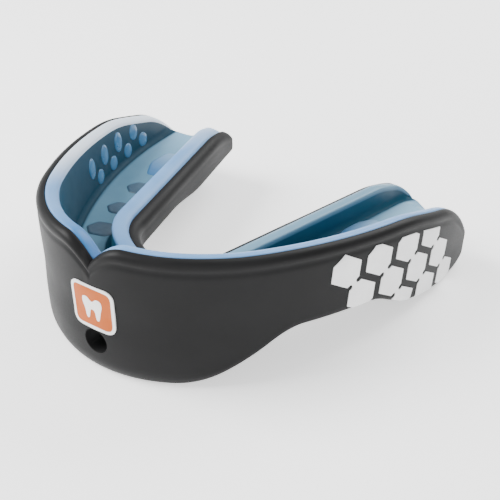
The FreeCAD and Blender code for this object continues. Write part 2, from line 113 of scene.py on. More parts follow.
def capped_tube(points):
    """Points and faces of a closed loop carried along stations, with both ends capped."""
    rows, columns = points.shape[:2]
    faces = grid_faces(rows, columns, wrap=True)
    faces.append(list(range(columns))[::-1])
    faces.append([(rows - 1) * columns + c for c in range(columns)])
    return points.reshape(-1, 3), faces


# %% [markdown]
# ## The two lines of the arch
#
# A dental arch is drawn as tangent arcs: tight behind the lips, wider at the canines,
# nearly straight along the molars. All walls follow two such lines, the cheek seam
# where gel meets rubber, and the tongue-side edge of the trough. The heading of the
# line is known at every length along it, so adding up small steps gives the points.

# %% Plan lines
class Arch:
    """A plan line that starts square to the mirror plane at the lips and turns through
    arcs given as (radius, degrees), then runs straight to the rear. Stations are
    lengths along it, negative on the -X side."""

    def __init__(self, apex, arcs, rear):
        spans = [radius * math.radians(sweep) for radius, sweep in arcs]
        turns = [math.radians(sweep) for radius, sweep in arcs]
        knots = np.concatenate([[0.0], np.cumsum(spans), [sum(spans) + rear]])
        headings = np.concatenate([[0.0], np.cumsum(turns), [sum(turns)]])
        self.length = np.linspace(0.0, knots[-1], 6001)
        self.heading = np.interp(self.length, knots, headings)
        step = self.length[1]
        middle = (self.heading[1:] + self.heading[:-1]) / 2
        self.x = np.concatenate([[0.0], np.cumsum(np.cos(middle))]) * step
        self.y = np.concatenate([[0.0], np.cumsum(np.sin(middle))]) * step - apex

    def at(self, station, outward=0.0):
        """Plan points at stations, moved square to the line by an outward distance."""
        station = np.asarray(station, float)
        side, along = np.sign(station), np.abs(station)
        heading = np.interp(along, self.length, self.heading)
        x = np.interp(along, self.length, self.x) + outward * np.sin(heading)
        y = np.interp(along, self.length, self.y) - outward * np.cos(heading)
        return side * x, y

    def station_at(self, reach):
        """The station on the +X side whose y is the reach."""
        return np.interp(reach, self.y, self.length)


REAR = float(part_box("shock_frame")[1][1]) / MM
seam = Arch(26.6, ((19.1, 38.6), (27.6, 19.8), (72.1, 31.2)), 12.0)
edge = Arch(17.6, ((11.2, 76.4),), 48.0)
print("the cheek seam runs", round(float(seam.station_at(REAR)), 1), "mm a side")

# %% Which point of the trough's edge faces each point of the seam
probe = edge.length[::20]
gap_x = seam.x[None, ::10] - np.interp(probe, edge.length, edge.x)[:, None]
gap_y = seam.y[None, ::10] - np.interp(probe, edge.length, edge.y)[:, None]
facing = seam.length[::10][np.argmin(gap_x**2 + gap_y**2, axis=1)]


def edge_station(station):
    """The trough-edge station nearest to a seam station, found the other way round:
    each edge point knows its nearest seam point, and the table is read backwards."""
    return np.sign(station) * np.interp(np.abs(station), facing, probe)


# %% [markdown]
# ## Heights that change along the arch
#
# Seen from the side the guard has a high lip wall, a waist at the premolars and a
# drooping lobe at each rear end. A height is a few corners joined by straight runs,
# and the corners are rounded by averaging over a short window, as a soft moulding
# rounds them. The lobe's round nose is closed separately, because there the top and
# the foot have to meet.

# %% Side profiles
def smooth(value):
    """The S-curve 3v^2 - 2v^3 between 0 and 1, flat at both ends."""
    value = np.clip(value, 0.0, 1.0)
    return value * value * (3 - 2 * value)


def soft_line(reach, corners, window):
    """Height at a distance behind the origin: straight runs between the corners,
    averaged over a window of that half width."""
    reach = np.asarray(reach, float)
    spread = np.linspace(-window, window, 41)
    y, z = zip(*corners)
    return np.interp(reach[..., None] + spread, y, z).mean(-1)


RIM = ((-40.0, 22.2), (8.0, 16.9), (20.5, 13.1), (REAR + 4, 3.3))
FOOT = ((-40, 0.0), (-21.8, 0.0), (-12.2, 7.1), (1.8, 6.0), (8.5, 2.0), (18.5, 0.0), (40, 0.0))
NOSE_START, NOSE_MIDDLE = 23.0, 3.9
NOTCH_DEPTH, NOTCH_HALF_WIDTH = 2.9, 4.6


def nose(reach, start, end):
    """How open a rounded end still is: 1 up to its start, then a superellipse to 0."""
    share = np.clip((reach - start) / (end - start), 0, 1)
    return np.clip(1 - share**3.0, 0, 1) ** 0.46


def rim_height(x, y):
    """Top of the cheek wall: the soft side profile, closed at the nose, less the notch
    for the frenum, a V whose sides flatten with the square of the distance to its
    shoulders."""
    shoulder = np.clip(1 - np.abs(x) / NOTCH_HALF_WIDTH, 0, 1)
    side = soft_line(y, RIM, 3.0)
    closed = NOSE_MIDDLE + (side - NOSE_MIDDLE) * nose(y, NOSE_START, REAR)
    return closed - NOTCH_DEPTH * shoulder**2


def foot_height(y):
    """Lower edge of the cheek wall, closed at the nose in the same way."""
    side = soft_line(y, FOOT, 2.2)
    return NOSE_MIDDLE + (side - NOSE_MIDDLE) * nose(y, NOSE_START, REAR)


def stations_to(end, step, fine=0.2, fine_half=5.4):
    """Stations from rear to rear, through exactly 0: fine steps at the notch, even
    steps along the arch, and ever finer ones into each rear end."""
    middle = np.arange(0.0, fine_half, fine)
    cheeks = np.linspace(fine_half, end - 6.0, int((end - 6.0 - fine_half) / step) + 2)
    into_end = end - 6.0 * np.cos(np.linspace(0, np.pi / 2, 26))[1:]
    half = np.concatenate([middle, cheeks, into_end])
    return np.concatenate([-half[:0:-1], half])


# %% [markdown]
# ## The shock frame's cheek wall
#
# Each station carries one closed section. Its outer face has a rounded shoulder under
# the rim and a shallow groove below that. At the lips the wall also leans back a
# little and rolls under to the flat base. Its inner face stands on the seam above the
# floor and steps in below it, where the rubber is thicker. Heights near the rim and
# the foot are measured from those edges, so that the roundings keep their size while
# the wall's height changes. Only where the wall is lower than its full height do they
# shrink with it. The faces close onto each other at an offset from the seam: one for
# the rim, one for the foot and one for the rear end.

# %% Section of the cheek wall
CHEEK_WALL, FLANGE_INSET, FLOOR_TOP = 1.3, 2.0, 8.8
FULL_HEIGHT, FADE_START, FADE_LENGTH = 7.0, 20.5, 5.0
SHOULDER, GROOVE_DEPTH, GROOVE_BELOW, GROOVE_WIDTH = 1.1, 0.2, 1.75, 0.42
TOP_CLOSE, FOOT_CLOSE, END_CLOSE = 0.12, -0.55, -0.35
LIP_LEAN = ((0, 0.75), (2.5, 0.45), (5.5, 0.36), (10.0, 0.5), (15.0, 0.2), (20.0, 0.0))
TOP_STEPS = np.array(
    [0, 0.02, 0.07, 0.15, 0.26, 0.4, 0.6, 0.85, 1.1, 1.35, 1.6, 1.85, 2.1, 2.35, 2.6, 2.9, 3.3]
)
FOOT_STEPS = np.array([0, 0.02, 0.08, 0.18, 0.32, 0.5, 0.75, 1.1, 1.5, 2.0, 2.6])


def quarter(share):
    """Height of a quarter ellipse above its foot: 0 at 0, 1 from 1 on."""
    return np.sqrt(np.clip(1 - (1 - np.clip(share, 0, 1)) ** 2, 0, 1))


REAR_STATION, END_GAP = float(seam.station_at(REAR)), 0.02


def outer_offset(station, depth, rise, height):
    """Distance of the outer face from the seam, at a depth below the rim, a rise above
    the foot and a height above the ground."""
    at_lips = smooth((26.0 - np.abs(station)) / 18.0)
    lean = np.interp(height, *zip(*LIP_LEAN))
    body = CHEEK_WALL - at_lips * lean
    before_end = smooth((REAR_STATION - np.abs(station) - 1.0) / 6.0)
    body = body - before_end * GROOVE_DEPTH * np.exp(-(((depth - GROOVE_BELOW) / GROOVE_WIDTH) ** 2))
    body = TOP_CLOSE + (body - TOP_CLOSE) * quarter(depth / SHOULDER)
    foot_round = 1.0 + 1.2 * at_lips
    return FOOT_CLOSE + (body - FOOT_CLOSE) * quarter(rise / foot_round)


def cheek_section(stations):
    """Closed sections of the wall, as (rows, loop, 3): down the outer face, then up the
    inner one."""
    t = np.asarray(stations, float)[:, None]
    x, y = seam.at(t)
    top, foot = rim_height(x, y), foot_height(y)
    scale = np.minimum(1.0, (top - foot) / FULL_HEIGHT)
    near_top, near_foot = top - scale * TOP_STEPS, foot + scale * FOOT_STEPS[::-1]
    between = np.linspace(0, 1, 14)[1:-1]
    middle = near_top[:, -1:] + (near_foot[:, :1] - near_top[:, -1:]) * between
    height = np.concatenate([near_top, middle, near_foot], axis=1)
    outer = outer_offset(t, (top - height) / scale, (height - foot) / scale, height)

    step = np.minimum(FLOOR_TOP - 0.05, top - 1.5 * scale)
    shares = np.linspace(0, 1, 7)
    foot_end = foot + FOOT_STEPS[-1] * scale
    below = foot_end + (step - foot_end) * shares[1:]
    above = step + 0.03 + (top - 0.4 * scale - step) * shares
    back_foot = foot + scale * FOOT_STEPS[1:]
    back_top = top - scale * TOP_STEPS[4:0:-1]
    back_height = np.concatenate([back_foot, below, above, back_top], axis=1)
    flange = FLANGE_INSET * (1 - smooth((y - FADE_START) / FADE_LENGTH))
    inside = np.where(back_height > step + 0.01, 0.0, -flange)
    inside = TOP_CLOSE + (inside - TOP_CLOSE) * quarter((top - back_height) / scale / 0.3)
    inner = FOOT_CLOSE + (inside - FOOT_CLOSE) * quarter((back_height - foot) / scale)

    offset = np.concatenate([outer, inner], axis=1)
    z = np.concatenate([height, back_height], axis=1)
    end_round = nose(y, REAR - 1.5, REAR)
    offset = END_CLOSE + (offset - END_CLOSE) * end_round
    plan_x, plan_y = seam.at(t, offset)
    return np.stack([plan_x, plan_y, z], axis=-1)


cheek_wall = cheek_section(stations_to(REAR_STATION - END_GAP, 0.45))
print("cheek wall grid:", cheek_wall.shape)

# %% [markdown]
# ## The floor plate and the tongue-side wall
#
# The rest of the shock frame lies under and behind the gel. The floor is a thin plate
# between the two walls. The tongue-side wall is another closed section, drawn like
# the first: both faces close onto a middle line near the rim and near the foot.

# %% Floor plate and tongue-side wall
TONGUE_BAND, TONGUE_WALL, FLOOR_UNDER = 2.4, 1.7, 8.0
TONGUE_REAR, FLOOR_REAR = 27.6, 24.0
TONGUE_RIM = ((-40, 12.6), (20.4, 12.1), (25.0, 11.1), (30.0, 9.0))
TONGUE_FOOT = ((-40, 8.0), (2.5, 8.0), (10.5, 6.6), (40, 6.4))
TONGUE_NOSE, TONGUE_FULL_HEIGHT = 8.2, 4.6
PALATE_ROUND, PALATE_GROOVE = 1.7, 0.05
TONGUE_FOOT_CLOSE, TONGUE_END_CLOSE = 0.8, 0.85


def incisor_dip(x, y):
    """How far the tongue side sinks behind the incisors: a bell curve across the front."""
    return 0.9 * np.exp(-((x / 4.5) ** 2)) * (y < 0)


def tongue_rim_height(x, y):
    """Top of the tongue-side wall, which dips a little behind the incisors."""
    side = soft_line(y, TONGUE_RIM, 1.8)
    closed = TONGUE_NOSE + (side - TONGUE_NOSE) * nose(y, TONGUE_REAR - 2.4, TONGUE_REAR)
    return closed - incisor_dip(x, y)


def tongue_foot_height(y):
    """Lower edge of the tongue-side wall."""
    side = soft_line(y, TONGUE_FOOT, 1.6)
    return TONGUE_NOSE + (side - TONGUE_NOSE) * nose(y, TONGUE_REAR - 1.8, TONGUE_REAR)


def tongue_section(stations):
    """Closed sections of the tongue-side wall: down its palate face, then up the face
    that holds the gel."""
    t = np.asarray(stations, float)[:, None]
    x, y = edge.at(t)
    top, foot = tongue_rim_height(x, y), tongue_foot_height(y)
    scale = np.minimum(1.0, (top - foot) / TONGUE_FULL_HEIGHT)
    near_top, near_foot = top - 0.8 * scale * TOP_STEPS, foot + 0.5 * scale * FOOT_STEPS[::-1]
    between = np.linspace(0, 1, 10)[1:-1]
    middle = near_top[:, -1:] + (near_foot[:, :1] - near_top[:, -1:]) * between
    height = np.concatenate([near_top, middle, near_foot], axis=1)
    depth, rise = (top - height) / scale, (height - foot) / scale
    groove = PALATE_GROOVE * np.exp(-(((depth - 1.9) / 0.5) ** 2))
    palate = (TONGUE_WALL - groove) * quarter(depth / PALATE_ROUND)
    palate = TONGUE_FOOT_CLOSE + (palate - TONGUE_FOOT_CLOSE) * quarter(rise / 0.8)
    inside = 0.1 * (1 - quarter(depth / 0.3))
    inside = TONGUE_FOOT_CLOSE + (inside - TONGUE_FOOT_CLOSE) * quarter(rise / 0.6)
    across = np.concatenate([palate, inside[:, -2:0:-1]], axis=1)
    z = np.concatenate([height, height[:, -2:0:-1]], axis=1)
    open_end = nose(y, TONGUE_REAR - 1.4, TONGUE_REAR)
    across = TONGUE_END_CLOSE + (across - TONGUE_END_CLOSE) * open_end
    plan_x, plan_y = edge.at(t, -(TONGUE_BAND + across))
    return np.stack([plan_x, plan_y, z], axis=-1)


def floor_section(stations):
    """Closed sections of the flat plate, from within the cheek wall to within the
    tongue-side wall."""
    t = np.asarray(stations, float)[:, None]
    seam_x, seam_y = seam.at(t, 0.3)
    back_x, back_y = edge.at(edge_station(t), -(TONGUE_BAND + 0.6))
    across = np.concatenate([np.linspace(0, 1, 13), np.linspace(1, 0, 13)])
    z = np.where(np.arange(26) < 13, FLOOR_UNDER, FLOOR_TOP - 0.03)
    x, y = seam_x + (back_x - seam_x) * across, seam_y + (back_y - seam_y) * across
    return np.stack([x, y, z + 0 * x], axis=-1)


tongue_end = float(edge.station_at(TONGUE_REAR)) - END_GAP
tongue_wall = tongue_section(stations_to(tongue_end, 0.5))
floor_end = float(seam.station_at(FLOOR_REAR))
floor_plate = floor_section(np.linspace(-floor_end, floor_end, 181))
print("tongue wall grid:", tongue_wall.shape, "floor grid:", floor_plate.shape)


# %% [markdown]
# ## Joining the frame
#
# The three closed surfaces overlap, so a Boolean union makes one solid of them, and a
# difference bores the tether port. Overlapping surfaces would look the same from
# outside, but one solid leaves no hidden faces and gives clean edges where the walls
# meet.

# %% The shock frame
def solid_piece(name, points):
    """A plain object from a closed tube, used up by a Boolean. It stays in millimetres,
    where the solver's tolerances suit such a small part."""
    vertices, faces = capped_tube(points)
    if signed_volume(vertices, faces) < 0:
        faces = [face[::-1] for face in faces]
    mesh = bpy.data.meshes.new(name)
    mesh.from_pydata(vertices.tolist(), [], faces)
    piece = bpy.data.objects.new(name, mesh)
    scene.collection.objects.link(piece)
    return piece


def combine(base, tools):
    """The base's mesh after a Boolean with each (tool, operation)."""
    for tool, operation in tools:
        step = base.modifiers.new(tool.name, "BOOLEAN")
        step.operation, step.object, step.solver = operation, tool, "MANIFOLD"
    bpy.context.view_layer.update()
    result = bpy.data.meshes.new_from_object(base.evaluated_get(bpy.context.evaluated_depsgraph_get()))
    for used in [base] + [tool for tool, operation in tools]:
        bpy.data.objects.remove(used)
    result.transform(Matrix.Scale(MM, 4))
    return result


PORT_RADIUS, PORT_HEIGHT = 1.8, 5.3


def port_bore():
    """The tether port's bore: circles with a rounded mouth, along -Y."""
    along = np.array([-29.5, -28.6, -28.0, -27.6, -27.2, -26.8, -22.5])
    flare = np.array([0.9, 0.55, 0.3, 0.12, 0.03, 0.0, 0.0])
    angle = np.linspace(0, 2 * np.pi, 64, endpoint=False)
    radius = (PORT_RADIUS + flare)[:, None]
    x, z = radius * np.cos(angle), PORT_HEIGHT + radius * np.sin(angle)
    return np.stack([x, along[:, None] + 0 * x, z], axis=-1)


joined = combine(
    solid_piece("cheek_wall", cheek_wall),
    [
        (solid_piece("floor_plate", floor_plate), "UNION"),
        (solid_piece("tongue_wall", tongue_wall), "UNION"),
        (solid_piece("port_bore", port_bore()), "DIFFERENCE"),
    ],
)
joined.name = "shock_frame"
joined.shade_smooth()
joined.set_sharp_from_angle(angle=math.radians(38))
shock_frame = bpy.data.objects.new("shock_frame_surface", joined)
scene.collection.objects.link(shock_frame)
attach(shock_frame, "root")
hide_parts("shock_frame")
print("shock frame:", len(joined.polygons), "faces")


# %% [markdown]
# ## The gel liner
#
# The liner is one closed section too, but it spans both lines of the arch: it climbs
# the seam, crosses the cheek-side band, drops down the leaning inner wall to the
# trough floor, and does the same in reverse on the tongue side. Its foot corners are
# filleted, since gel is cast and has no sharp inner edge. The section is a list of
# stretches, each with its plan points, heights and kind. The floor and the underside
# have no plan line of their own, so they run straight from one neighbour to the next.
# Every point also remembers whether it lies on a band, a wall or the floor, and the
# material reads that later to paint light and shade, because a gel looks darker where it
# is backed by more depth.

# %% Section of the liner
GEL_UNDER, GEL_FLOOR, GEL_BAND, LINER_REAR = 8.78, 9.4, 1.9, 27.5
GEL_TONGUE_RIM = ((-40, 13.45), (20.4, 13.0), (25.4, 11.5), (29.0, 6.6))
CHEEK_LEAN, TONGUE_LEAN, FILLET = 0.75, 0.35, 0.75
BAND_SHARES = np.array([0, 0.02, 0.06, 0.13, 0.25, 0.4, 0.55, 0.7, 0.82, 0.9, 0.95, 0.98, 1.0])
WALL_SHARES = np.array([1.0, 0.9, 0.78, 0.66, 0.54, 0.42, 0.32])
FILLET_STEPS = np.array([0.95, 0.75, 0.55, 0.38, 0.23, 0.11, 0.03, 0.0])
FILLET_RISE, BAND_FALL, EDGE_ROUND = 0.95, 0.5, 0.34
BAND_DROP = BAND_FALL + EDGE_ROUND
LEAST_ROOM, SEAM_GAP = 0.96, 0.01
OUTSIDE, BAND, WALL, FLOOR = range(4)


def band_profile(shares):
    """Height over a band from its outer to its inner edge, inner being the side towards
    the tongue: a low crown that falls inwards, with both edges rounded."""
    crown = 0.12 * np.sin(np.pi * shares) - BAND_FALL * shares**1.4
    outer_edge = 0.3 * (1 - quarter(shares / 0.16))
    inner_edge = EDGE_ROUND * (1 - quarter((1 - shares) / 0.2))
    return crown - outer_edge - inner_edge


def wall_heights(room):
    """Heights above the floor down an inner wall: even steps, then closer ones over
    the fillet."""
    lowest = WALL_SHARES[-1]
    wall = FILLET_RISE + (room - FILLET_RISE) * (WALL_SHARES - lowest) / (1 - lowest)
    return np.concatenate([wall, 0 * room + FILLET_STEPS[1:]], axis=1)


def wall_lean(climb, room, lean):
    """How far an inner wall stands out into the trough at a climb above the floor: an
    even lean, and the fillet's quarter ellipse at its foot."""
    return lean * (1 - climb / room) + FILLET * (1 - quarter(climb / FILLET_RISE))


def liner_section(stations):
    """Closed sections of the liner as (rows, loop, 3). For each point it also gives
    four marks: on a band, on a wall, on the floor, and on the tongue side."""
    t = np.asarray(stations, float)[:, None]
    x, y = seam.at(t)
    back = edge_station(t)
    back_x, back_y = edge.at(back)
    open_end = nose(y, LINER_REAR - 1.3, LINER_REAR)
    top = rim_height(x, y) - 0.02
    back_top = soft_line(back_y, GEL_TONGUE_RIM, 1.5) - incisor_dip(back_x, back_y)
    floor = np.minimum(GEL_FLOOR, top - 0.9)
    back_floor = np.minimum(GEL_FLOOR, back_top - 0.4)
    under = np.minimum(GEL_UNDER, floor - 0.5)
    back_under = np.minimum(GEL_UNDER, back_floor - 0.5)

    room = np.maximum(top - BAND_DROP - floor, LEAST_ROOM)
    climb = wall_heights(room)
    wall_top = np.minimum(room, top - BAND_DROP - floor)
    cheek_z = floor + climb * wall_top / room
    cheek_offset = -(GEL_BAND + wall_lean(climb, room, CHEEK_LEAN))
    back_room = np.maximum(back_top - BAND_DROP - back_floor, LEAST_ROOM)
    back_climb = wall_heights(back_room)[:, ::-1]
    back_wall_top = np.minimum(back_room, np.maximum(back_top - BAND_DROP - back_floor, 0.02))
    back_z = back_floor + back_climb * back_wall_top / back_room
    flare = 1.6 * np.clip((back_y - 23.0) / 4.5, 0, 1) ** 2
    back_offset = wall_lean(back_climb, back_room, TONGUE_LEAN) + flare

    rise = np.linspace(0, 1, 5)[:-1]
    side_z = under + (top - EDGE_ROUND - under) * rise
    band_z = top + band_profile(BAND_SHARES)
    band_offset = -SEAM_GAP - (GEL_BAND - SEAM_GAP) * BAND_SHARES + 0 * band_z
    back_band_z = back_top + band_profile(BAND_SHARES)
    back_band_offset = flare * (1 - BAND_SHARES) - TONGUE_BAND * BAND_SHARES + 0 * back_band_z
    back_side_z = (back_under + (back_top - EDGE_ROUND - back_under) * rise)[:, ::-1]
    across = np.linspace(0, 1, 12)[1:-1]

    stretches = [
        (seam.at(t, -SEAM_GAP + 0 * side_z), side_z, OUTSIDE, False),
        (seam.at(t, band_offset), band_z, BAND, False),
        (seam.at(t, cheek_offset), cheek_z, WALL, False),
        (None, floor + (back_floor - floor) * across, FLOOR, False),
        (edge.at(back, back_offset), back_z, WALL, True),
        (edge.at(back, back_band_offset), back_band_z, BAND, True),
        (edge.at(back, -TONGUE_BAND + 0 * back_side_z), back_side_z, OUTSIDE, True),
        (None, back_under + (under - back_under) * across, OUTSIDE, False),
    ]
    plans, heights, kinds, sides = zip(*stretches)
    plans = list(plans)
    for here in (3, 7):
        start, end = plans[here - 1], plans[(here + 1) % 8]
        plans[here] = [a[:, -1:] + (b[:, :1] - a[:, -1:]) * across for a, b in zip(start, end)]
    plan_x, plan_y = (
        np.concatenate([np.broadcast_to(plan[axis], z.shape) for plan, z in zip(plans, heights)], axis=1)
        for axis in (0, 1)
    )
    counts = [z.shape[1] for z in heights]
    z = under + (np.concatenate(heights, axis=1) - under) * open_end
    zone, tongue_side = np.repeat(kinds, counts), np.repeat(sides, counts)
    marks = np.stack([zone == BAND, zone == WALL, zone == FLOOR, tongue_side], axis=-1).astype(float)
    return np.stack([plan_x, plan_y, z], axis=-1), np.broadcast_to(marks, plan_x.shape + (4,))


liner_end = float(seam.station_at(LINER_REAR)) - END_GAP
liner_points, liner_zones = liner_section(stations_to(liner_end, 0.45))
vertices, faces = capped_tube(liner_points)
liner = make_piece("gel_liner_surface", vertices, faces, ("gel_liner",), crease=60)
zone_layer = liner.data.attributes.new("gel_zone", "FLOAT_COLOR", "POINT")
zone_layer.data.foreach_set("color", liner_zones.astype(np.float32).ravel())


# %% [markdown]
# ## Bite pads and fit nubs
#
# A pad is a lozenge with a point towards the cheek and a blunted one towards the
# tongue. Its edge is rounded off and its top is slightly crowned, so it is drawn as
# rings round its centre. A nub is a low ellipsoid, long from top to bottom, set in the
# leaning wall. Both are placed by their distance along the arch, so they turn with it.

# %% Rings round a centre
PAD_CORNERS = [(1.0, 0.0), (0.5, 1.0), (-0.62, 1.0), (-1.0, 0.35), (-1.0, -0.35), (-0.62, -1.0), (0.5, -1.0)]
PAD_CROWN, PAD_LIFT = 0.1, 0.12


def lozenge_rings(across, along, rings=9, spokes=48):
    """A pad at the origin. Each spoke runs out to the nearest side of the outline, with
    the corners softened, and the height falls from the crown to below the floor."""
    angle = np.linspace(0, 2 * np.pi, spokes, endpoint=False)
    far, level = 9.0, 1e-6
    reach = np.full(spokes, far)
    for (ax, ay), (bx, by) in zip(PAD_CORNERS, PAD_CORNERS[1:] + PAD_CORNERS[:1]):
        normal_x, normal_y = by - ay, ax - bx
        facing = normal_x * np.cos(angle) + normal_y * np.sin(angle)
        distance = (normal_x * ax + normal_y * ay) / np.maximum(facing, level)
        reach = np.minimum(reach, np.where(facing > level, distance, far))
    blur = np.mean([np.roll(reach, shift) for shift in (-1, 0, 1)], axis=0)
    radius = np.sin(np.linspace(0, np.pi / 2, rings))[1:, None]
    height = PAD_CROWN * (1 - radius**2) + PAD_LIFT - 0.3 * smooth((radius - 0.82) / 0.18)
    u, v = radius * blur * np.cos(angle) * across, radius * blur * np.sin(angle) * along
    return np.stack([u, v, height + 0 * u], axis=-1)


def dome_faces(rings, spokes, first=0):
    """Faces of rings round a centre point that is listed first: a fan, then quads, and
    one flat face that closes the underside."""
    ring = first + 1 + np.arange(spokes)
    fan = np.stack([np.full(spokes, first), ring, np.roll(ring, -1)], -1).tolist()
    quads = (np.array(grid_faces(rings, spokes, wrap=True)) + first + 1).tolist()
    base = (first + 1 + (rings - 1) * spokes + np.arange(spokes))[::-1].tolist()
    return fan + quads + [base]


PAD_REACH_AND_LENGTH = ((-10.4, 4.2), (-4.0, 3.9), (2.8, 4.0), (11.8, 9.6))
PAD_FROM_EDGE, PAD_ACROSS = 3.1, 5.4


def pads_on(side):
    """Points and faces of the four pads of one arm."""
    rows, faces, first = [], [], 0
    shifted_y = edge.at(edge.length, PAD_FROM_EDGE)[1]
    for reach, length in PAD_REACH_AND_LENGTH:
        station = np.interp(reach, shifted_y, edge.length)
        heading = float(np.interp(station, edge.length, edge.heading))
        rings = lozenge_rings(PAD_ACROSS / 2, length / 2)
        centre_x, centre_y = edge.at(station, PAD_FROM_EDGE)
        sine, cosine = math.sin(heading), math.cos(heading)
        x = side * (centre_x + rings[..., 0] * sine + rings[..., 1] * cosine)
        y = centre_y - rings[..., 0] * cosine + rings[..., 1] * sine
        z = GEL_FLOOR + rings[..., 2]
        centre = np.array([[side * centre_x, centre_y, GEL_FLOOR + PAD_CROWN + PAD_LIFT]])
        rows += [centre, np.stack([x, y, z], axis=-1).reshape(-1, 3)]
        pad_faces = dome_faces(*rings.shape[:2], first)
        faces += pad_faces if side > 0 else [face[::-1] for face in pad_faces]
        first += 1 + rings.shape[0] * rings.shape[1]
    return np.concatenate(rows), faces


for word, side in (("right", 1), ("left", -1)):
    pad_points, pad_faces = pads_on(side)
    name, replaced = f"bite_pads_{word}_surface", (f"bite_pads_{word}",)
    make_piece(name, pad_points, pad_faces, replaced, crease=70)

# %% Fit nubs
NUB_ROWS = (((-3.5, 1.6, 6.7, 12.0), 13.75, 1.75), ((-0.9, 4.2, 9.4, 14.6), 11.05, 1.25))
NUB_HALF_WIDTH, NUB_PROUD, WALL_TOP_DROP = 1.3, 0.22, 0.86


def nubs_on(side, rings=14, spokes=28):
    """Points and faces of one arm's nubs: ellipsoids whose long axis leans with the
    wall, and whose top stays below the band. A grid runs from pole to pole."""
    rows, faces, first = [], [], 0
    polar = np.linspace(0, np.pi, rings + 2)[1:-1, None]
    angle = np.linspace(0, 2 * np.pi, spokes, endpoint=False)
    along = NUB_HALF_WIDTH * np.sin(polar) * np.cos(angle)
    proud = NUB_PROUD * np.sin(polar) * np.sin(angle)
    count = rings * spokes
    for reaches, height, half_height in NUB_ROWS:
        for reach in reaches:
            station = float(seam.station_at(reach))
            sx, sy = seam.at(station)
            top = float(rim_height(sx, sy)) - WALL_TOP_DROP
            ends = np.array([min(height + half_height, top - 0.05), height - half_height])
            z = ends.mean() + (ends[0] - ends.mean()) * np.cos(polar) + 0 * along
            lean = CHEEK_LEAN / (top - GEL_FLOOR)
            x, y = seam.at(station + along, -(GEL_BAND + lean * (top - z) + proud))
            points = np.stack([side * x, y, z], axis=-1).reshape(-1, 3)
            pole_x, pole_y = seam.at(station + 0 * ends, -GEL_BAND - lean * (top - ends))
            rows += [points, np.stack([side * pole_x, pole_y, ends], axis=-1)]
            ring = first + np.arange(spokes)
            low_ring = ring + count - spokes
            top_pole, low_pole = np.full(spokes, first + count), np.full(spokes, first + count + 1)
            faces += (np.array(grid_faces(rings, spokes, wrap=True)) + first).tolist()
            faces += np.stack([top_pole, np.roll(ring, -1), ring], -1).tolist()
            faces += np.stack([low_pole, low_ring, np.roll(low_ring, -1)], -1).tolist()
            first += count + 2
    return np.concatenate(rows), faces


for word, side in (("right", 1), ("left", -1)):
    nub_points, nub_faces = nubs_on(side)
    name, replaced = f"wall_nubs_{word}_surface", (f"wall_nubs_{word}",)
    make_piece(name, nub_points, nub_faces, replaced, crease=80)


# %% [markdown]
# ## Flat shapes laid on a curved wall
#
# The chains, the badge and its emblem are flat outlines that follow a curved wall. A
# constrained triangulation takes all the outlines of one drawing at once, plus a
# lattice of free points inside, so no triangle crosses an outline. Counting how often
# a ray crosses an outline says whether a triangle lies in it, and a rule then keeps
# the triangles that belong to the shape. Adding and subtracting outlines this way
# needs no Boolean, and the free points let the shape bend.

# %% Triangulated tiles
def rounded(corners, radius, steps=5):
    """A polygon whose corners become quadratic curves. Each curve starts and ends near
    the points where a circle of the radius would touch the sides."""
    corners = np.asarray(corners, float)
    arriving = corners - np.roll(corners, 1, axis=0)
    leaving = np.roll(corners, -1, axis=0) - corners
    arriving /= np.linalg.norm(arriving, axis=1, keepdims=True)
    leaving /= np.linalg.norm(leaving, axis=1, keepdims=True)
    half_turn = np.arccos(np.clip((arriving * leaving).sum(1), -1, 1)) / 2
    setback = (radius * np.tan(half_turn))[:, None]
    start, end = corners - arriving * setback, corners + leaving * setback
    share = np.linspace(0, 1, steps)[:, None, None]
    curve = (1 - share) ** 2 * start + 2 * share * (1 - share) * corners + share**2 * end
    return curve.transpose(1, 0, 2).reshape(-1, 2)


def capsule(start, end, radius, steps=10):
    """A bar with two round ends."""
    start, end = np.array(start, float), np.array(end, float)
    heading = math.atan2(*(end - start)[::-1])
    turn = np.linspace(-np.pi / 2, np.pi / 2, steps)
    front = end + radius * np.stack([np.cos(heading + turn), np.sin(heading + turn)], -1)
    back = start - radius * np.stack([np.cos(heading + turn), np.sin(heading + turn)], -1)
    return np.concatenate([front, back])


def encloses(outline, x, y):
    """Whether points lie inside an outline: a level ray from an inside point crosses
    the outline an odd number of times."""
    from_x, from_y = np.asarray(outline).T
    to_x, to_y = np.roll(from_x, -1), np.roll(from_y, -1)
    spans = (from_y > y[:, None]) != (to_y > y[:, None])
    slope = (to_x - from_x) / np.where(to_y == from_y, 1.0, to_y - from_y)
    crossed = spans & (x[:, None] < from_x + (y[:, None] - from_y) * slope)
    return crossed.sum(axis=1) % 2 == 1


def drawing(outlines, keep, spacing):
    """Triangles of the area that the rule keeps. The rule gets, for each outline name,
    whether each triangle's middle lies in an outline of that name."""
    points, loops = [], []
    for name, outline in outlines:
        loops.append(list(range(len(points), len(points) + len(outline))))
        points += np.asarray(outline).tolist()
    low, high = np.min(points, axis=0), np.max(points, axis=0)
    u, v = np.meshgrid(np.arange(low[0], high[0], spacing), np.arange(low[1], high[1], spacing))
    points += np.stack([u.ravel() + 0.013, v.ravel() + 0.017], -1).tolist()
    borders = [(a, b) for loop in loops for a, b in zip(loop, loop[1:] + loop[:1])]
    result = delaunay_2d_cdt([Vector(p) for p in points], borders, [], 0, 1e-5, True)
    flat, triangles = np.array([tuple(v) for v in result[0]]), np.array(result[2])
    middle_x, middle_y = flat[triangles].mean(axis=1).T
    inside = {}
    for name, outline in outlines:
        here = encloses(outline, middle_x, middle_y)
        inside[name] = inside[name] | here if name in inside else here
    used, packed = np.unique(triangles[keep(inside)], return_inverse=True)
    return flat[used], packed.reshape(-1, 3)


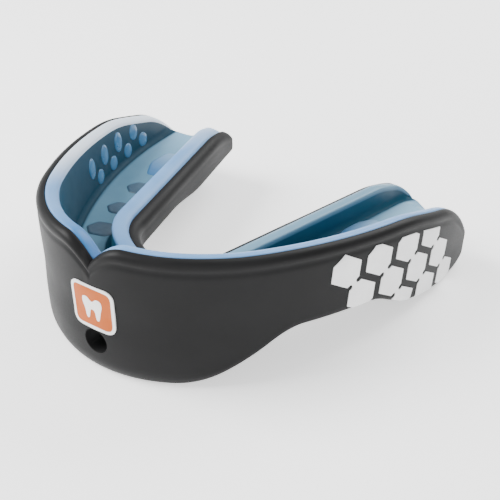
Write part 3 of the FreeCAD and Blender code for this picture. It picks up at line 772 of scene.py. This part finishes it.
def wall_tile(name, shape, place, low, high, replaced, soften=0.0):
    """A thin solid over a flat drawing: an upper and a lower copy of it laid on the
    wall at two lifts, joined round the free edges. Soften rounds the upper edges."""
    flat, triangles = shape
    count = len(flat)
    edges = np.concatenate([triangles[:, [0, 1]], triangles[:, [1, 2]], triangles[:, [2, 0]]])
    keys = np.sort(edges, axis=1)
    _, where, times = np.unique(keys, axis=0, return_inverse=True, return_counts=True)
    free = edges[times[where.ravel()] == 1]
    rim = np.stack([free[:, 0], free[:, 0] + count, free[:, 1] + count, free[:, 1]], -1)
    points = np.concatenate([place(flat[:, 0], flat[:, 1], high), place(flat[:, 0], flat[:, 1], low)])
    faces = triangles.tolist() + (triangles[:, ::-1] + count).tolist() + rim.tolist()
    tile = make_piece(name, points, faces, replaced, crease=35)
    if soften:
        bevel = tile.modifiers.new("soft_edge", "BEVEL")
        bevel.width, bevel.segments = soften * MM, 2
        bevel.limit_method, bevel.angle_limit = "ANGLE", math.radians(50)
    return tile


# %% Places on the outer face
LEAN_AT_BADGE = 0.5


def wall_point(station, z, lift):
    """The point of the outer face at a station and height, lifted off it."""
    x, y = seam.at(station)
    top, foot = rim_height(x, y), foot_height(y)
    scale = np.minimum(1.0, (top - foot) / FULL_HEIGHT)
    offset = outer_offset(station, (top - z) / scale, (z - foot) / scale, z) + lift
    plan_x, plan_y = seam.at(station, offset)
    return np.stack([plan_x, plan_y, z], axis=-1)


face_y = seam.at(seam.length, CHEEK_WALL)[1]
lips_x = seam.at(seam.length, CHEEK_WALL - LEAN_AT_BADGE)[0]


def on_lips(x, z, lift):
    """A drawing in (x, z) seen from the front, on the lip wall."""
    return wall_point(np.sign(x) * np.interp(np.abs(x), lips_x, seam.length), z, lift)


# %% [markdown]
# ## The hexagon chains
#
# The hexagons sit on a slanted lattice, given by one step along the cheek and one step
# down a chain. Each fills its own cell of the lattice less half a gap on every side.
# Two neighbours in a chain are joined by a neck, and a slot with a round end bites
# into the neck from either side. A window that follows the rim and the lower edge
# trims the whole drawing.

# %% Hexagon chains
LATTICE_START = np.array([float(np.interp(-5.0, face_y, seam.length)), 13.7])
ALONG_CHEEK, DOWN_CHAIN = np.array([6.04, -0.36]), np.array([3.17, -4.98])
CHAIN_LINKS = (3, 3, 4, 4)
CHAIN_GAP, LINK_GAP, CROSS_GAP = 1.25, 0.85, 1.1
NECK, NECK_REACH, SLOT_REACH, CELL_ROUND = 0.8, 0.5, 1.5, 0.1
CHAIN_SUNK, CHAIN_PROUD = -0.35, 0.1
RIM_MARGIN, FOOT_MARGIN = ((-4.0, 4.0), (1.6, 2.15)), 0.5


def cell_hexagon(centre):
    """The cell round a lattice point: corners where neighbouring pairs of sides meet."""
    sides = [(ALONG_CHEEK, CHAIN_GAP), (ALONG_CHEEK - DOWN_CHAIN, CROSS_GAP), (-DOWN_CHAIN, LINK_GAP)]
    lines = []
    for step, gap in sides + [(-step, gap) for step, gap in sides]:
        length = np.linalg.norm(step)
        lines.append((step / length, (length - gap) / 2))
    corners = []
    for (n0, d0), (n1, d1) in zip(lines, lines[1:] + lines[:1]):
        corners.append(np.linalg.solve(np.array([n0, n1]), np.array([d0, d1])) + centre)
    return rounded(corners, CELL_ROUND, steps=3)


def chain_outlines():
    """Every outline of one cheek's drawing, named by what it is."""
    down = DOWN_CHAIN / np.linalg.norm(DOWN_CHAIN)
    side = np.array([-down[1], down[0]])
    outlines = []
    half, reach = side * (NECK + LINK_GAP) / 2, down * NECK_REACH
    for chain, links in enumerate(CHAIN_LINKS):
        for link in range(links):
            centre = LATTICE_START + chain * ALONG_CHEEK + link * DOWN_CHAIN
            outlines.append(("hexagon", cell_hexagon(centre)))
            if link == links - 1:
                continue
            middle = centre + DOWN_CHAIN / 2
            low, high = middle - reach, middle + reach
            outlines.append(("neck", [low - half, low + half, high + half, high - half]))
            for way in (1, -1):
                slot = capsule(middle + way * half, middle + way * side * SLOT_REACH, LINK_GAP / 2)
                outlines.append(("slot", slot))
    station = LATTICE_START[0] + np.linspace(-4.0, 30.5, 90)
    x, y = seam.at(station)
    above, below = rim_height(x, y) - np.interp(y, *RIM_MARGIN), foot_height(y) + FOOT_MARGIN
    window = np.concatenate([np.stack([station, below], -1), np.stack([station, above], -1)[::-1]])
    outlines.append(("window", window))
    return outlines


def in_chain(inside):
    """Hexagons and necks, less the slots, within the window."""
    return inside["window"] & (inside["hexagon"] | inside["neck"]) & ~inside["slot"]


chains = drawing(chain_outlines(), in_chain, 0.5)
for word, side in (("right", 1), ("left", -1)):
    wall_tile(
        f"hexagon_chains_{word}",
        chains,
        lambda along, z, lift, side=side: wall_point(along, z, lift) * (side, 1, 1),
        CHAIN_SUNK,
        CHAIN_PROUD,
        [f"side_inlay_{word}_{count}" for count in (1, 2, 3, 4)],
    )

# %% [markdown]
# ## The badge
#
# A rounded square with a border and a plain tooth on it, all a little proud of the lip
# wall. The tooth's outline is a closed curve through a few points of one half, which
# are mirrored.

# %% Badge
BADGE_HALF, BADGE_ROUND, BADGE_BORDER, BADGE_Z, BADGE_SUNK = 3.5, 1.5, 0.45, 10.9, -0.3
TOOTH_CROWN = [(0.0, 0.95), (0.75, 1.5), (1.45, 1.35), (1.6, 0.55), (1.3, -0.6)]
TOOTH_ROOT = [(1.05, -1.75), (0.62, -1.8), (0.35, -0.6), (0.0, -0.35)]


def square(half, radius):
    """A rounded square round the badge's centre."""
    corners = np.array([(-half, -half), (half, -half), (half, half), (-half, half)]) + (0, BADGE_Z)
    return rounded(corners, radius, steps=9)


def tooth():
    """A closed curve through the points: each stretch is a cubic whose slopes follow
    the neighbouring points."""
    half = TOOTH_CROWN + TOOTH_ROOT
    points = np.array(half + [(-x, z) for x, z in half[-2:0:-1]])
    before, after, beyond = np.roll(points, 1, 0), np.roll(points, -1, 0), np.roll(points, -2, 0)
    s = np.linspace(0, 1, 7)[:-1, None, None]
    curve = 0.5 * (
        2 * points + (after - before) * s + (2 * before - 5 * points + 4 * after - beyond) * s**2
        + (3 * points - before - 3 * after + beyond) * s**3
    )
    return curve.transpose(1, 0, 2).reshape(-1, 2) + (0, BADGE_Z)


badge_lines = [
    ("badge", square(BADGE_HALF, BADGE_ROUND)),
    ("plate", square(BADGE_HALF - BADGE_BORDER, BADGE_ROUND - BADGE_BORDER)),
    ("tooth", tooth()),
]
for node, keep, high, slot in (
    ("badge_border", lambda inside: inside["badge"] & ~inside["plate"], 0.16, "badge_white"),
    ("badge_plate", lambda inside: inside["plate"] & ~inside["tooth"], 0.14, "badge_orange"),
    ("badge_emblem", lambda inside: inside["tooth"], 0.17, "badge_white"),
):
    tile = drawing(badge_lines, keep, 0.35)
    wall_tile(f"{node}_surface", tile, on_lips, BADGE_SUNK, high, [node], soften=0.05)


# %% [markdown]
# ## Grain, edge wear and edge highlights, shared by several finishes
#
# Moulded rubber, printed film and firm pads all have a fine grain and broad, faint
# patches. Building that once as a node group keeps the materials short, and each
# material decides for itself what the values do. The group reads Object coordinates,
# scaled to millimetres, so that a size in it can be read off with a ruler.

# %% Node helpers
def add_node(tree, kind, links=None, **values):
    """A new node. Values set its properties or its sockets, and links join sockets to
    other nodes' outputs."""
    node = tree.nodes.new("ShaderNode" + kind)
    for name, value in values.items():
        if hasattr(node, name):
            setattr(node, name, value)
        else:
            node.inputs[name.replace("_", " ")].default_value = value
    for socket, source in (links or {}).items():
        tree.links.new(source, node.inputs[socket])
    return node


def new_group(name, inputs, outputs):
    """An empty node group with named number inputs and outputs, and its two ends."""
    group = bpy.data.node_groups.new(name, "ShaderNodeTree")
    for label, value in inputs.items():
        socket = group.interface.new_socket(label, in_out="INPUT", socket_type="NodeSocketFloat")
        socket.default_value = value
    for label in outputs:
        group.interface.new_socket(label, in_out="OUTPUT", socket_type="NodeSocketFloat")
    return group, group.nodes.new("NodeGroupInput"), group.nodes.new("NodeGroupOutput")


def in_millimetres(tree):
    """Object coordinates as a vector in millimetres."""
    place = add_node(tree, "TexCoord")
    scaled = add_node(tree, "VectorMath", {0: place.outputs["Object"]}, operation="SCALE", Scale=1 / MM)
    return scaled.outputs[0]


def remap(tree, value, low, high, to_low=0.0, to_high=1.0):
    """A value from one range laid over another, clamped; low may be the larger end."""
    return add_node(
        tree, "MapRange", {"Value": value}, clamp=True,
        From_Min=low, From_Max=high, To_Min=to_low, To_Max=to_high,
    ).outputs["Result"]


def combine_values(tree, operation, first, second):
    """Arithmetic on two values, either of which may be a plain number."""
    node = tree.nodes.new("ShaderNodeMath")
    node.operation = operation
    for place, value in enumerate((first, second)):
        if isinstance(value, (int, float)):
            node.inputs[place].default_value = value
        else:
            tree.links.new(value, node.inputs[place])
    return node.outputs[0]


def multiply(tree, first, second):
    """The product of two values."""
    return combine_values(tree, "MULTIPLY", first, second)


def feed(tree, shader, **sources):
    """Joins other nodes' outputs to the shader's sockets of those names."""
    for name, source in sources.items():
        tree.links.new(source, shader.inputs[name.replace("_", " ")])


def blend_colours(tree, share, first, second):
    """A mix of two colours, each a plain colour or another node's output."""
    node = tree.nodes.new("ShaderNodeMix")
    node.data_type = "RGBA"
    tree.links.new(share, node.inputs[0])
    for place, colour in ((6, first), (7, second)):
        if isinstance(colour, tuple):
            node.inputs[place].default_value = (*colour, 1.0)
        else:
            tree.links.new(colour, node.inputs[place])
    return node.outputs[2]


# %% The moulded grain group
grain_group, ends_in, ends_out = new_group(
    "moulded_grain", {"Grain per mm": 5.0, "Patches per mm": 0.12}, ("Fine", "Patches", "Specks")
)
where = in_millimetres(grain_group)
for label, output, detail, roughness in (
    ("Grain per mm", "Fine", 3.0, 0.6),
    ("Patches per mm", "Patches", 4.0, 0.55),
):
    links = {"Vector": where, "Scale": ends_in.outputs[label]}
    noise = add_node(grain_group, "TexNoise", links, Detail=detail, Roughness=roughness)
    grain_group.links.new(noise.outputs["Fac"], ends_out.inputs[output])
dots = add_node(grain_group, "TexVoronoi", {"Vector": where}, Scale=1.4, Randomness=1.0)
specks = remap(grain_group, dots.outputs["Distance"], 0.03, 0.1, 1.0, 0.0)
grain_group.links.new(specks, ends_out.inputs["Specks"])

# %% The edge wear and highlight group
# Pointiness picks out convex edges: the rubber and the pads use it to paint them paler as a highlight, the
# film to darken them as scuffs.
edge_wear_and_highlight_group, ends_in, ends_out = new_group("edge_wear", {"Start": 0.52, "Full": 0.62}, ("Convex edge",))
shape = add_node(edge_wear_and_highlight_group, "NewGeometry")
breakup = add_node(edge_wear_and_highlight_group, "TexNoise", {"Vector": in_millimetres(edge_wear_and_highlight_group)}, Scale=0.8, Detail=3.0)
links = {
    "Value": shape.outputs["Pointiness"],
    "From Min": ends_in.outputs["Start"],
    "From Max": ends_in.outputs["Full"],
}
edge_share = add_node(edge_wear_and_highlight_group, "MapRange", links)
uneven = remap(edge_wear_and_highlight_group, breakup.outputs["Fac"], 0.3, 0.7, 0.4, 1.0)
uneven_edges = multiply(edge_wear_and_highlight_group, edge_share.outputs["Result"], uneven)
edge_wear_and_highlight_group.links.new(uneven_edges, ends_out.inputs["Convex edge"])


def place_group(tree, group, **values):
    """A node group placed in a material with its own values."""
    node = tree.nodes.new("ShaderNodeGroup")
    node.node_tree = group
    for name, value in values.items():
        node.inputs[name.replace("_", " ")].default_value = value
    return node


def new_finish(name, **constants):
    """A material with a Principled shader whose plain sockets are set directly."""
    material = bpy.data.materials.new(name)
    material.use_nodes = True
    shader = material.node_tree.nodes["Principled BSDF"]
    for label, value in constants.items():
        shader.inputs[label.replace("_", " ")].default_value = value
    return material, material.node_tree, shader


def bump_from(tree, height, strength, distance):
    """A normal bent by a height, with a distance in millimetres."""
    bump = add_node(tree, "Bump", {"Height": height}, Strength=strength, Distance=distance * MM)
    return bump.outputs["Normal"]


# %% [markdown]
# ## Charcoal rubber
#
# The shock frame is a satin rubber: nearly black, with a soft broad sheen and no sharp
# reflections. Fine grain breaks the sheen up, faint patches change its roughness, and
# its convex edges are a little paler, a painted highlight along the rims.

# %% Charcoal rubber
rubber, tree, shader = new_finish("charcoal_rubber", IOR=1.5, Specular_IOR_Level=0.12)
grain = place_group(tree, grain_group, Grain_per_mm=7.0, Patches_per_mm=0.1)
convex_edges = place_group(tree, edge_wear_and_highlight_group, Start=0.515, Full=0.6)
patchy = remap(tree, grain.outputs["Patches"], 0.35, 0.65)
body = blend_colours(tree, patchy, (0.0076, 0.0076, 0.0078), (0.0104, 0.0104, 0.0108))
dusty = multiply(tree, grain.outputs["Specks"], 0.25)
body = blend_colours(tree, dusty, body, (0.016, 0.016, 0.017))
# Convex edges are painted a little paler: a painted highlight along the rims.
edge_highlight = multiply(tree, convex_edges.outputs["Convex edge"], 0.5)
body = blend_colours(tree, edge_highlight, body, (0.022, 0.021, 0.020))
broad = remap(tree, grain.outputs["Patches"], 0.3, 0.7, 0.42, 0.52)
satin = combine_values(tree, "ADD", broad, remap(tree, grain.outputs["Fine"], 0.3, 0.7, -0.04, 0.05))
bump = bump_from(tree, grain.outputs["Fine"], 0.35, 0.012)
feed(tree, shader, Base_Color=body, Roughness=satin, Normal=bump)

# %% [markdown]
# ## Ice-blue gel
#
# The liner is a translucent gel. On its bands light comes straight back and it looks pale,
# while the trough walls look into the depth of the gel and go dark and saturated. The zone
# that each point carries chooses between those colours, so they are painted light and shade.
# Slow clouds and a paler rear end vary the colour. The walls carry painted shade: darker
# towards the trough floor, and darker still on the -X side. On the -X cheek the band is
# whiter, a painted reflection; on the +X side the band along the tongue is greyer, and the
# -X slope of the notch a deeper blue, both painted shade. The foot of each wall is duller,
# and a little subsurface scattering with a clear gloss makes the rest look wet and soft.

# %% Ice-blue gel
gel, tree, shader = new_finish(
    "ice_blue_gel", Subsurface_Weight=0.18, Subsurface_Radius=(0.6, 0.9, 1.2), Subsurface_Scale=0.001,
    IOR=1.45, Specular_IOR_Level=0.25, Coat_Roughness=0.2,
)
zones = add_node(tree, "Attribute", attribute_name="gel_zone")
split = add_node(tree, "SeparateColor", {"Color": zones.outputs["Color"]})
spot = add_node(tree, "SeparateXYZ", {"Vector": in_millimetres(tree)})
on_band, on_wall, on_floor = (split.outputs[name] for name in ("Red", "Green", "Blue"))
x, y, z = (spot.outputs[name] for name in ("X", "Y", "Z"))
grain = place_group(tree, grain_group, Grain_per_mm=2.2, Patches_per_mm=0.16)
clouds = remap(tree, grain.outputs["Patches"], 0.3, 0.7)

# Painted shade: the walls darken towards the trough floor, and more on the -X side.
wall = blend_colours(tree, remap(tree, z, 9.5, 15.0), (0.0058, 0.058, 0.100), (0.012, 0.090, 0.152))
wall = blend_colours(tree, remap(tree, x, -6.0, -18.0, 0.0, 0.85), wall, (0.0030, 0.033, 0.060))
floor_blue = blend_colours(tree, clouds, (0.095, 0.225, 0.325), (0.125, 0.270, 0.380))
rear_share = remap(tree, y, 9.0, 22.0, 0.0, 0.85)
floor_blue = blend_colours(tree, rear_share, floor_blue, (0.215, 0.400, 0.555))
band = blend_colours(tree, clouds, (0.130, 0.285, 0.540), (0.170, 0.335, 0.610))
band = blend_colours(tree, remap(tree, y, 12.0, 26.0, 0.0, 0.5), band, (0.330, 0.500, 0.740))
# Painted reflection: the band whitens on the -X cheek.
painted_reflection_share = multiply(tree, remap(tree, x, -15.0, -22.0, 0.0, 0.8), remap(tree, y, -24.0, -13.0))
band = blend_colours(tree, painted_reflection_share, band, (0.800, 0.860, 0.920))
# Painted shade: the band along the tongue greys on the +X side.
tongue_band_shade_share = multiply(tree, zones.outputs["Alpha"], remap(tree, x, 3.0, 10.0, 0.0, 0.9))
band = blend_colours(tree, tongue_band_shade_share, band, (0.130, 0.250, 0.330))
# Painted shade: a deeper blue on the -X slope of the notch.
notch_shade_share = multiply(tree, remap(tree, x, 1.2, -1.2), remap(tree, x, -10.0, -3.5))
notch_shade_share = multiply(tree, notch_shade_share, remap(tree, y, -21.0, -23.0, 0.0, 0.85))
band = blend_colours(tree, notch_shade_share, band, (0.025, 0.160, 0.400))
gel_colour = blend_colours(tree, on_wall, (0.100, 0.220, 0.330), wall)
gel_colour = blend_colours(tree, on_floor, gel_colour, floor_blue)
gel_colour = blend_colours(tree, on_band, gel_colour, band)
at_foot = multiply(tree, on_wall, remap(tree, z, 9.6, 10.6, 0.45, 0.0))
satin = combine_values(tree, "ADD", at_foot, remap(tree, grain.outputs["Patches"], 0.3, 0.7, 0.34, 0.44))
gloss = remap(tree, grain.outputs["Fine"], 0.3, 0.7, 0.02, 0.08)
bump = bump_from(tree, grain.outputs["Fine"], 0.25, 0.02)
feed(tree, shader, Base_Color=gel_colour, Roughness=satin, Coat_Weight=gloss, Normal=bump)

# %% [markdown]
# ## Pads and nubs
#
# The pads are a firmer slate-blue compound under a skin of gel, with their rounded edges
# painted paler as a highlight. The longest one, at the rear, is bluer and fades out towards
# its end. The nubs are the same gel as the liner, only paler than the wall behind them
# because they stand towards the light.

# %% Slate pads
slate, tree, shader = new_finish("slate_pads", IOR=1.48, Specular_IOR_Level=0.5, Coat_Roughness=0.15)
grain = place_group(tree, grain_group, Grain_per_mm=3.0, Patches_per_mm=0.35)
convex_edges = place_group(tree, edge_wear_and_highlight_group, Start=0.5, Full=0.6)
spot = add_node(tree, "SeparateXYZ", {"Vector": in_millimetres(tree)})
patchy = remap(tree, grain.outputs["Patches"], 0.35, 0.65)
tone = blend_colours(tree, patchy, (0.028, 0.072, 0.120), (0.045, 0.105, 0.165))
rear_share = remap(tree, spot.outputs["Y"], 9.0, 15.5)
rear = blend_colours(tree, rear_share, (0.035, 0.160, 0.360), (0.200, 0.360, 0.540))
tone = blend_colours(tree, remap(tree, spot.outputs["Y"], 5.5, 6.5), tone, rear)
# The rounded pad edges are painted paler: a painted highlight.
tone = blend_colours(tree, multiply(tree, convex_edges.outputs["Convex edge"], 0.3), tone, (0.130, 0.260, 0.380))
satin = remap(tree, grain.outputs["Patches"], 0.3, 0.7, 0.28, 0.40)
gloss = remap(tree, grain.outputs["Fine"], 0.3, 0.7, 0.1, 0.3)
bump = bump_from(tree, grain.outputs["Fine"], 0.3, 0.02)
feed(tree, shader, Base_Color=tone, Roughness=satin, Coat_Weight=gloss, Normal=bump)

# %% Pale gel nubs
nub_gel, tree, shader = new_finish(
    "pale_gel_nubs", Subsurface_Weight=0.2, Subsurface_Radius=(0.5, 0.8, 1.1), Subsurface_Scale=0.001,
    IOR=1.45,
)
grain = place_group(tree, grain_group, Grain_per_mm=2.5, Patches_per_mm=0.5)
patchy = remap(tree, grain.outputs["Patches"], 0.3, 0.7)
tone = blend_colours(tree, patchy, (0.055, 0.175, 0.330), (0.075, 0.210, 0.385))
satin = remap(tree, grain.outputs["Patches"], 0.3, 0.7, 0.2, 0.3)
bump = bump_from(tree, grain.outputs["Fine"], 0.2, 0.02)
feed(tree, shader, Base_Color=tone, Roughness=satin, Normal=bump)


# %% [markdown]
# ## Printed film
#
# The chains and the badge are thin satin film. Film shows very fine grain, tiny specks
# of dust and slight scuffing at its edges. One function makes it in any colour.

# %% White and orange film
def film(name, colour, shade, roughness):
    """Satin film: a colour with faint patches of a second shade, and scuffed edges."""
    material, tree, shader = new_finish(name, IOR=1.46, Specular_IOR_Level=0.4)
    grain = place_group(tree, grain_group, Grain_per_mm=9.0, Patches_per_mm=0.2)
    convex_edges = place_group(tree, edge_wear_and_highlight_group, Start=0.55, Full=0.75)
    tone = blend_colours(tree, remap(tree, grain.outputs["Patches"], 0.35, 0.65), colour, shade)
    scuffed = tuple(0.7 * value for value in shade)
    for output, strength in ((convex_edges.outputs["Convex edge"], 0.3), (grain.outputs["Specks"], 0.12)):
        tone = blend_colours(tree, multiply(tree, output, strength), tone, scuffed)
    satin = remap(tree, grain.outputs["Patches"], 0.3, 0.7, roughness - 0.06, roughness + 0.06)
    bump = bump_from(tree, grain.outputs["Fine"], 0.25, 0.01)
    feed(tree, shader, Base_Color=tone, Roughness=satin, Normal=bump)
    return material


inlay_film = film("white_inlay_film", (0.90, 0.90, 0.90), (0.82, 0.82, 0.825), 0.5)
badge_white = film("white_badge_film", (0.86, 0.86, 0.85), (0.80, 0.80, 0.79), 0.45)
badge_orange = film("orange_badge_film", (0.46, 0.088, 0.0005), (0.42, 0.080, 0.0005), 0.55)

# %% Every piece gets its finish
FINISHES = {
    "shock_frame_surface": rubber,
    "gel_liner_surface": gel,
    "bite_pads_left_surface": slate,
    "bite_pads_right_surface": slate,
    "wall_nubs_left_surface": nub_gel,
    "wall_nubs_right_surface": nub_gel,
    "hexagon_chains_left": inlay_film,
    "hexagon_chains_right": inlay_film,
    "badge_border_surface": badge_white,
    "badge_plate_surface": badge_orange,
    "badge_emblem_surface": badge_white,
}
for piece_name, finish in FINISHES.items():
    materials = bpy.data.objects[piece_name].data.materials
    materials.clear()
    materials.append(finish)
print(len(FINISHES), "pieces have their finish")

# %% [markdown]
# ## Camera, floor and lights
#
# A pale floor runs back into an even pale surround. A broad soft light stands to the
# lip side, a larger and weaker one to the other side, and one high behind the guard
# draws the highlights along the rims.

# %% Camera
CAMERA_PLACE, CAMERA_LENS = (65.78, -93.80, 79.01), 63.22
CAMERA_RIGHT, CAMERA_UP = (0.8363, 0.5478, 0.0243), (-0.3135, 0.4413, 0.8408)


def look_along(right, up):
    """A rotation whose columns are the camera's right, up and backward directions,
    made square to each other."""
    right = Vector(right).normalized()
    back = right.cross(Vector(up)).normalized()
    return Matrix((right, back.cross(right), back)).transposed().to_4x4()


camera_data = bpy.data.cameras.new("camera")
camera_data.sensor_width = 36.0
camera_data.lens = CAMERA_LENS
camera_data.clip_start, camera_data.clip_end = 0.005, 5.0
camera = bpy.data.objects.new("camera", camera_data)
place = Matrix.Translation(Vector(CAMERA_PLACE) * MM)
camera.matrix_world = place @ look_along(CAMERA_RIGHT, CAMERA_UP)
scene.collection.objects.link(camera)
scene.camera = camera


# %% Floor, surround and lights
def pale_material(name, colour, roughness):
    """A plain stage surface with a faint mottle, so that it isn't perfectly flat."""
    flat = (*colour, 1.0)
    material, tree, shader = new_finish(
        name, Base_Color=flat, Specular_IOR_Level=0.2, Emission_Color=flat, Emission_Strength=1.0
    )
    mottle = add_node(tree, "TexNoise", Scale=9.0).outputs["Fac"]
    feed(tree, shader, Roughness=remap(tree, mottle, 0.0, 1.0, roughness - 0.03, roughness + 0.03))
    return material


floor_mesh = bpy.data.meshes.new("stage_floor")
reach, level = 1.2, 0.0
corners = [(-reach, -reach, level), (reach, -reach, level), (reach, reach, level), (-reach, reach, level)]
floor_mesh.from_pydata(corners, [], [(0, 1, 2, 3)])
floor = bpy.data.objects.new("stage_floor", floor_mesh)
scene.collection.objects.link(floor)
floor_mesh.materials.append(pale_material("stage_white", (0.93, 0.93, 0.93), 0.85))

world = bpy.data.worlds.new("surround")
scene.world = world
world.use_nodes = True
world.node_tree.nodes["Background"].inputs["Color"].default_value = (0.98, 0.99, 1.0, 1.0)
world.node_tree.nodes["Background"].inputs["Strength"].default_value = 0.7


def soft_light(name, place, side, watts):
    """A square area light that faces the guard; place and side are in millimetres."""
    data = bpy.data.lights.new(name, "AREA")
    data.size, data.energy = side * MM, watts
    light = bpy.data.objects.new(name, data)
    scene.collection.objects.link(light)
    start, end = Vector(place) * MM, Vector(LIT_PLACE) * MM
    facing = (end - start).to_track_quat("-Z", "Y").to_matrix().to_4x4()
    light.matrix_world = Matrix.Translation(start) @ facing


LIT_PLACE = (0, 0, 8)
soft_light("key_light", (-260, -160, 260), 240, 3.2)
soft_light("fill_light", (240, -220, 150), 260, 0.5)
soft_light("rim_light", (40, 300, 260), 260, 1.5)
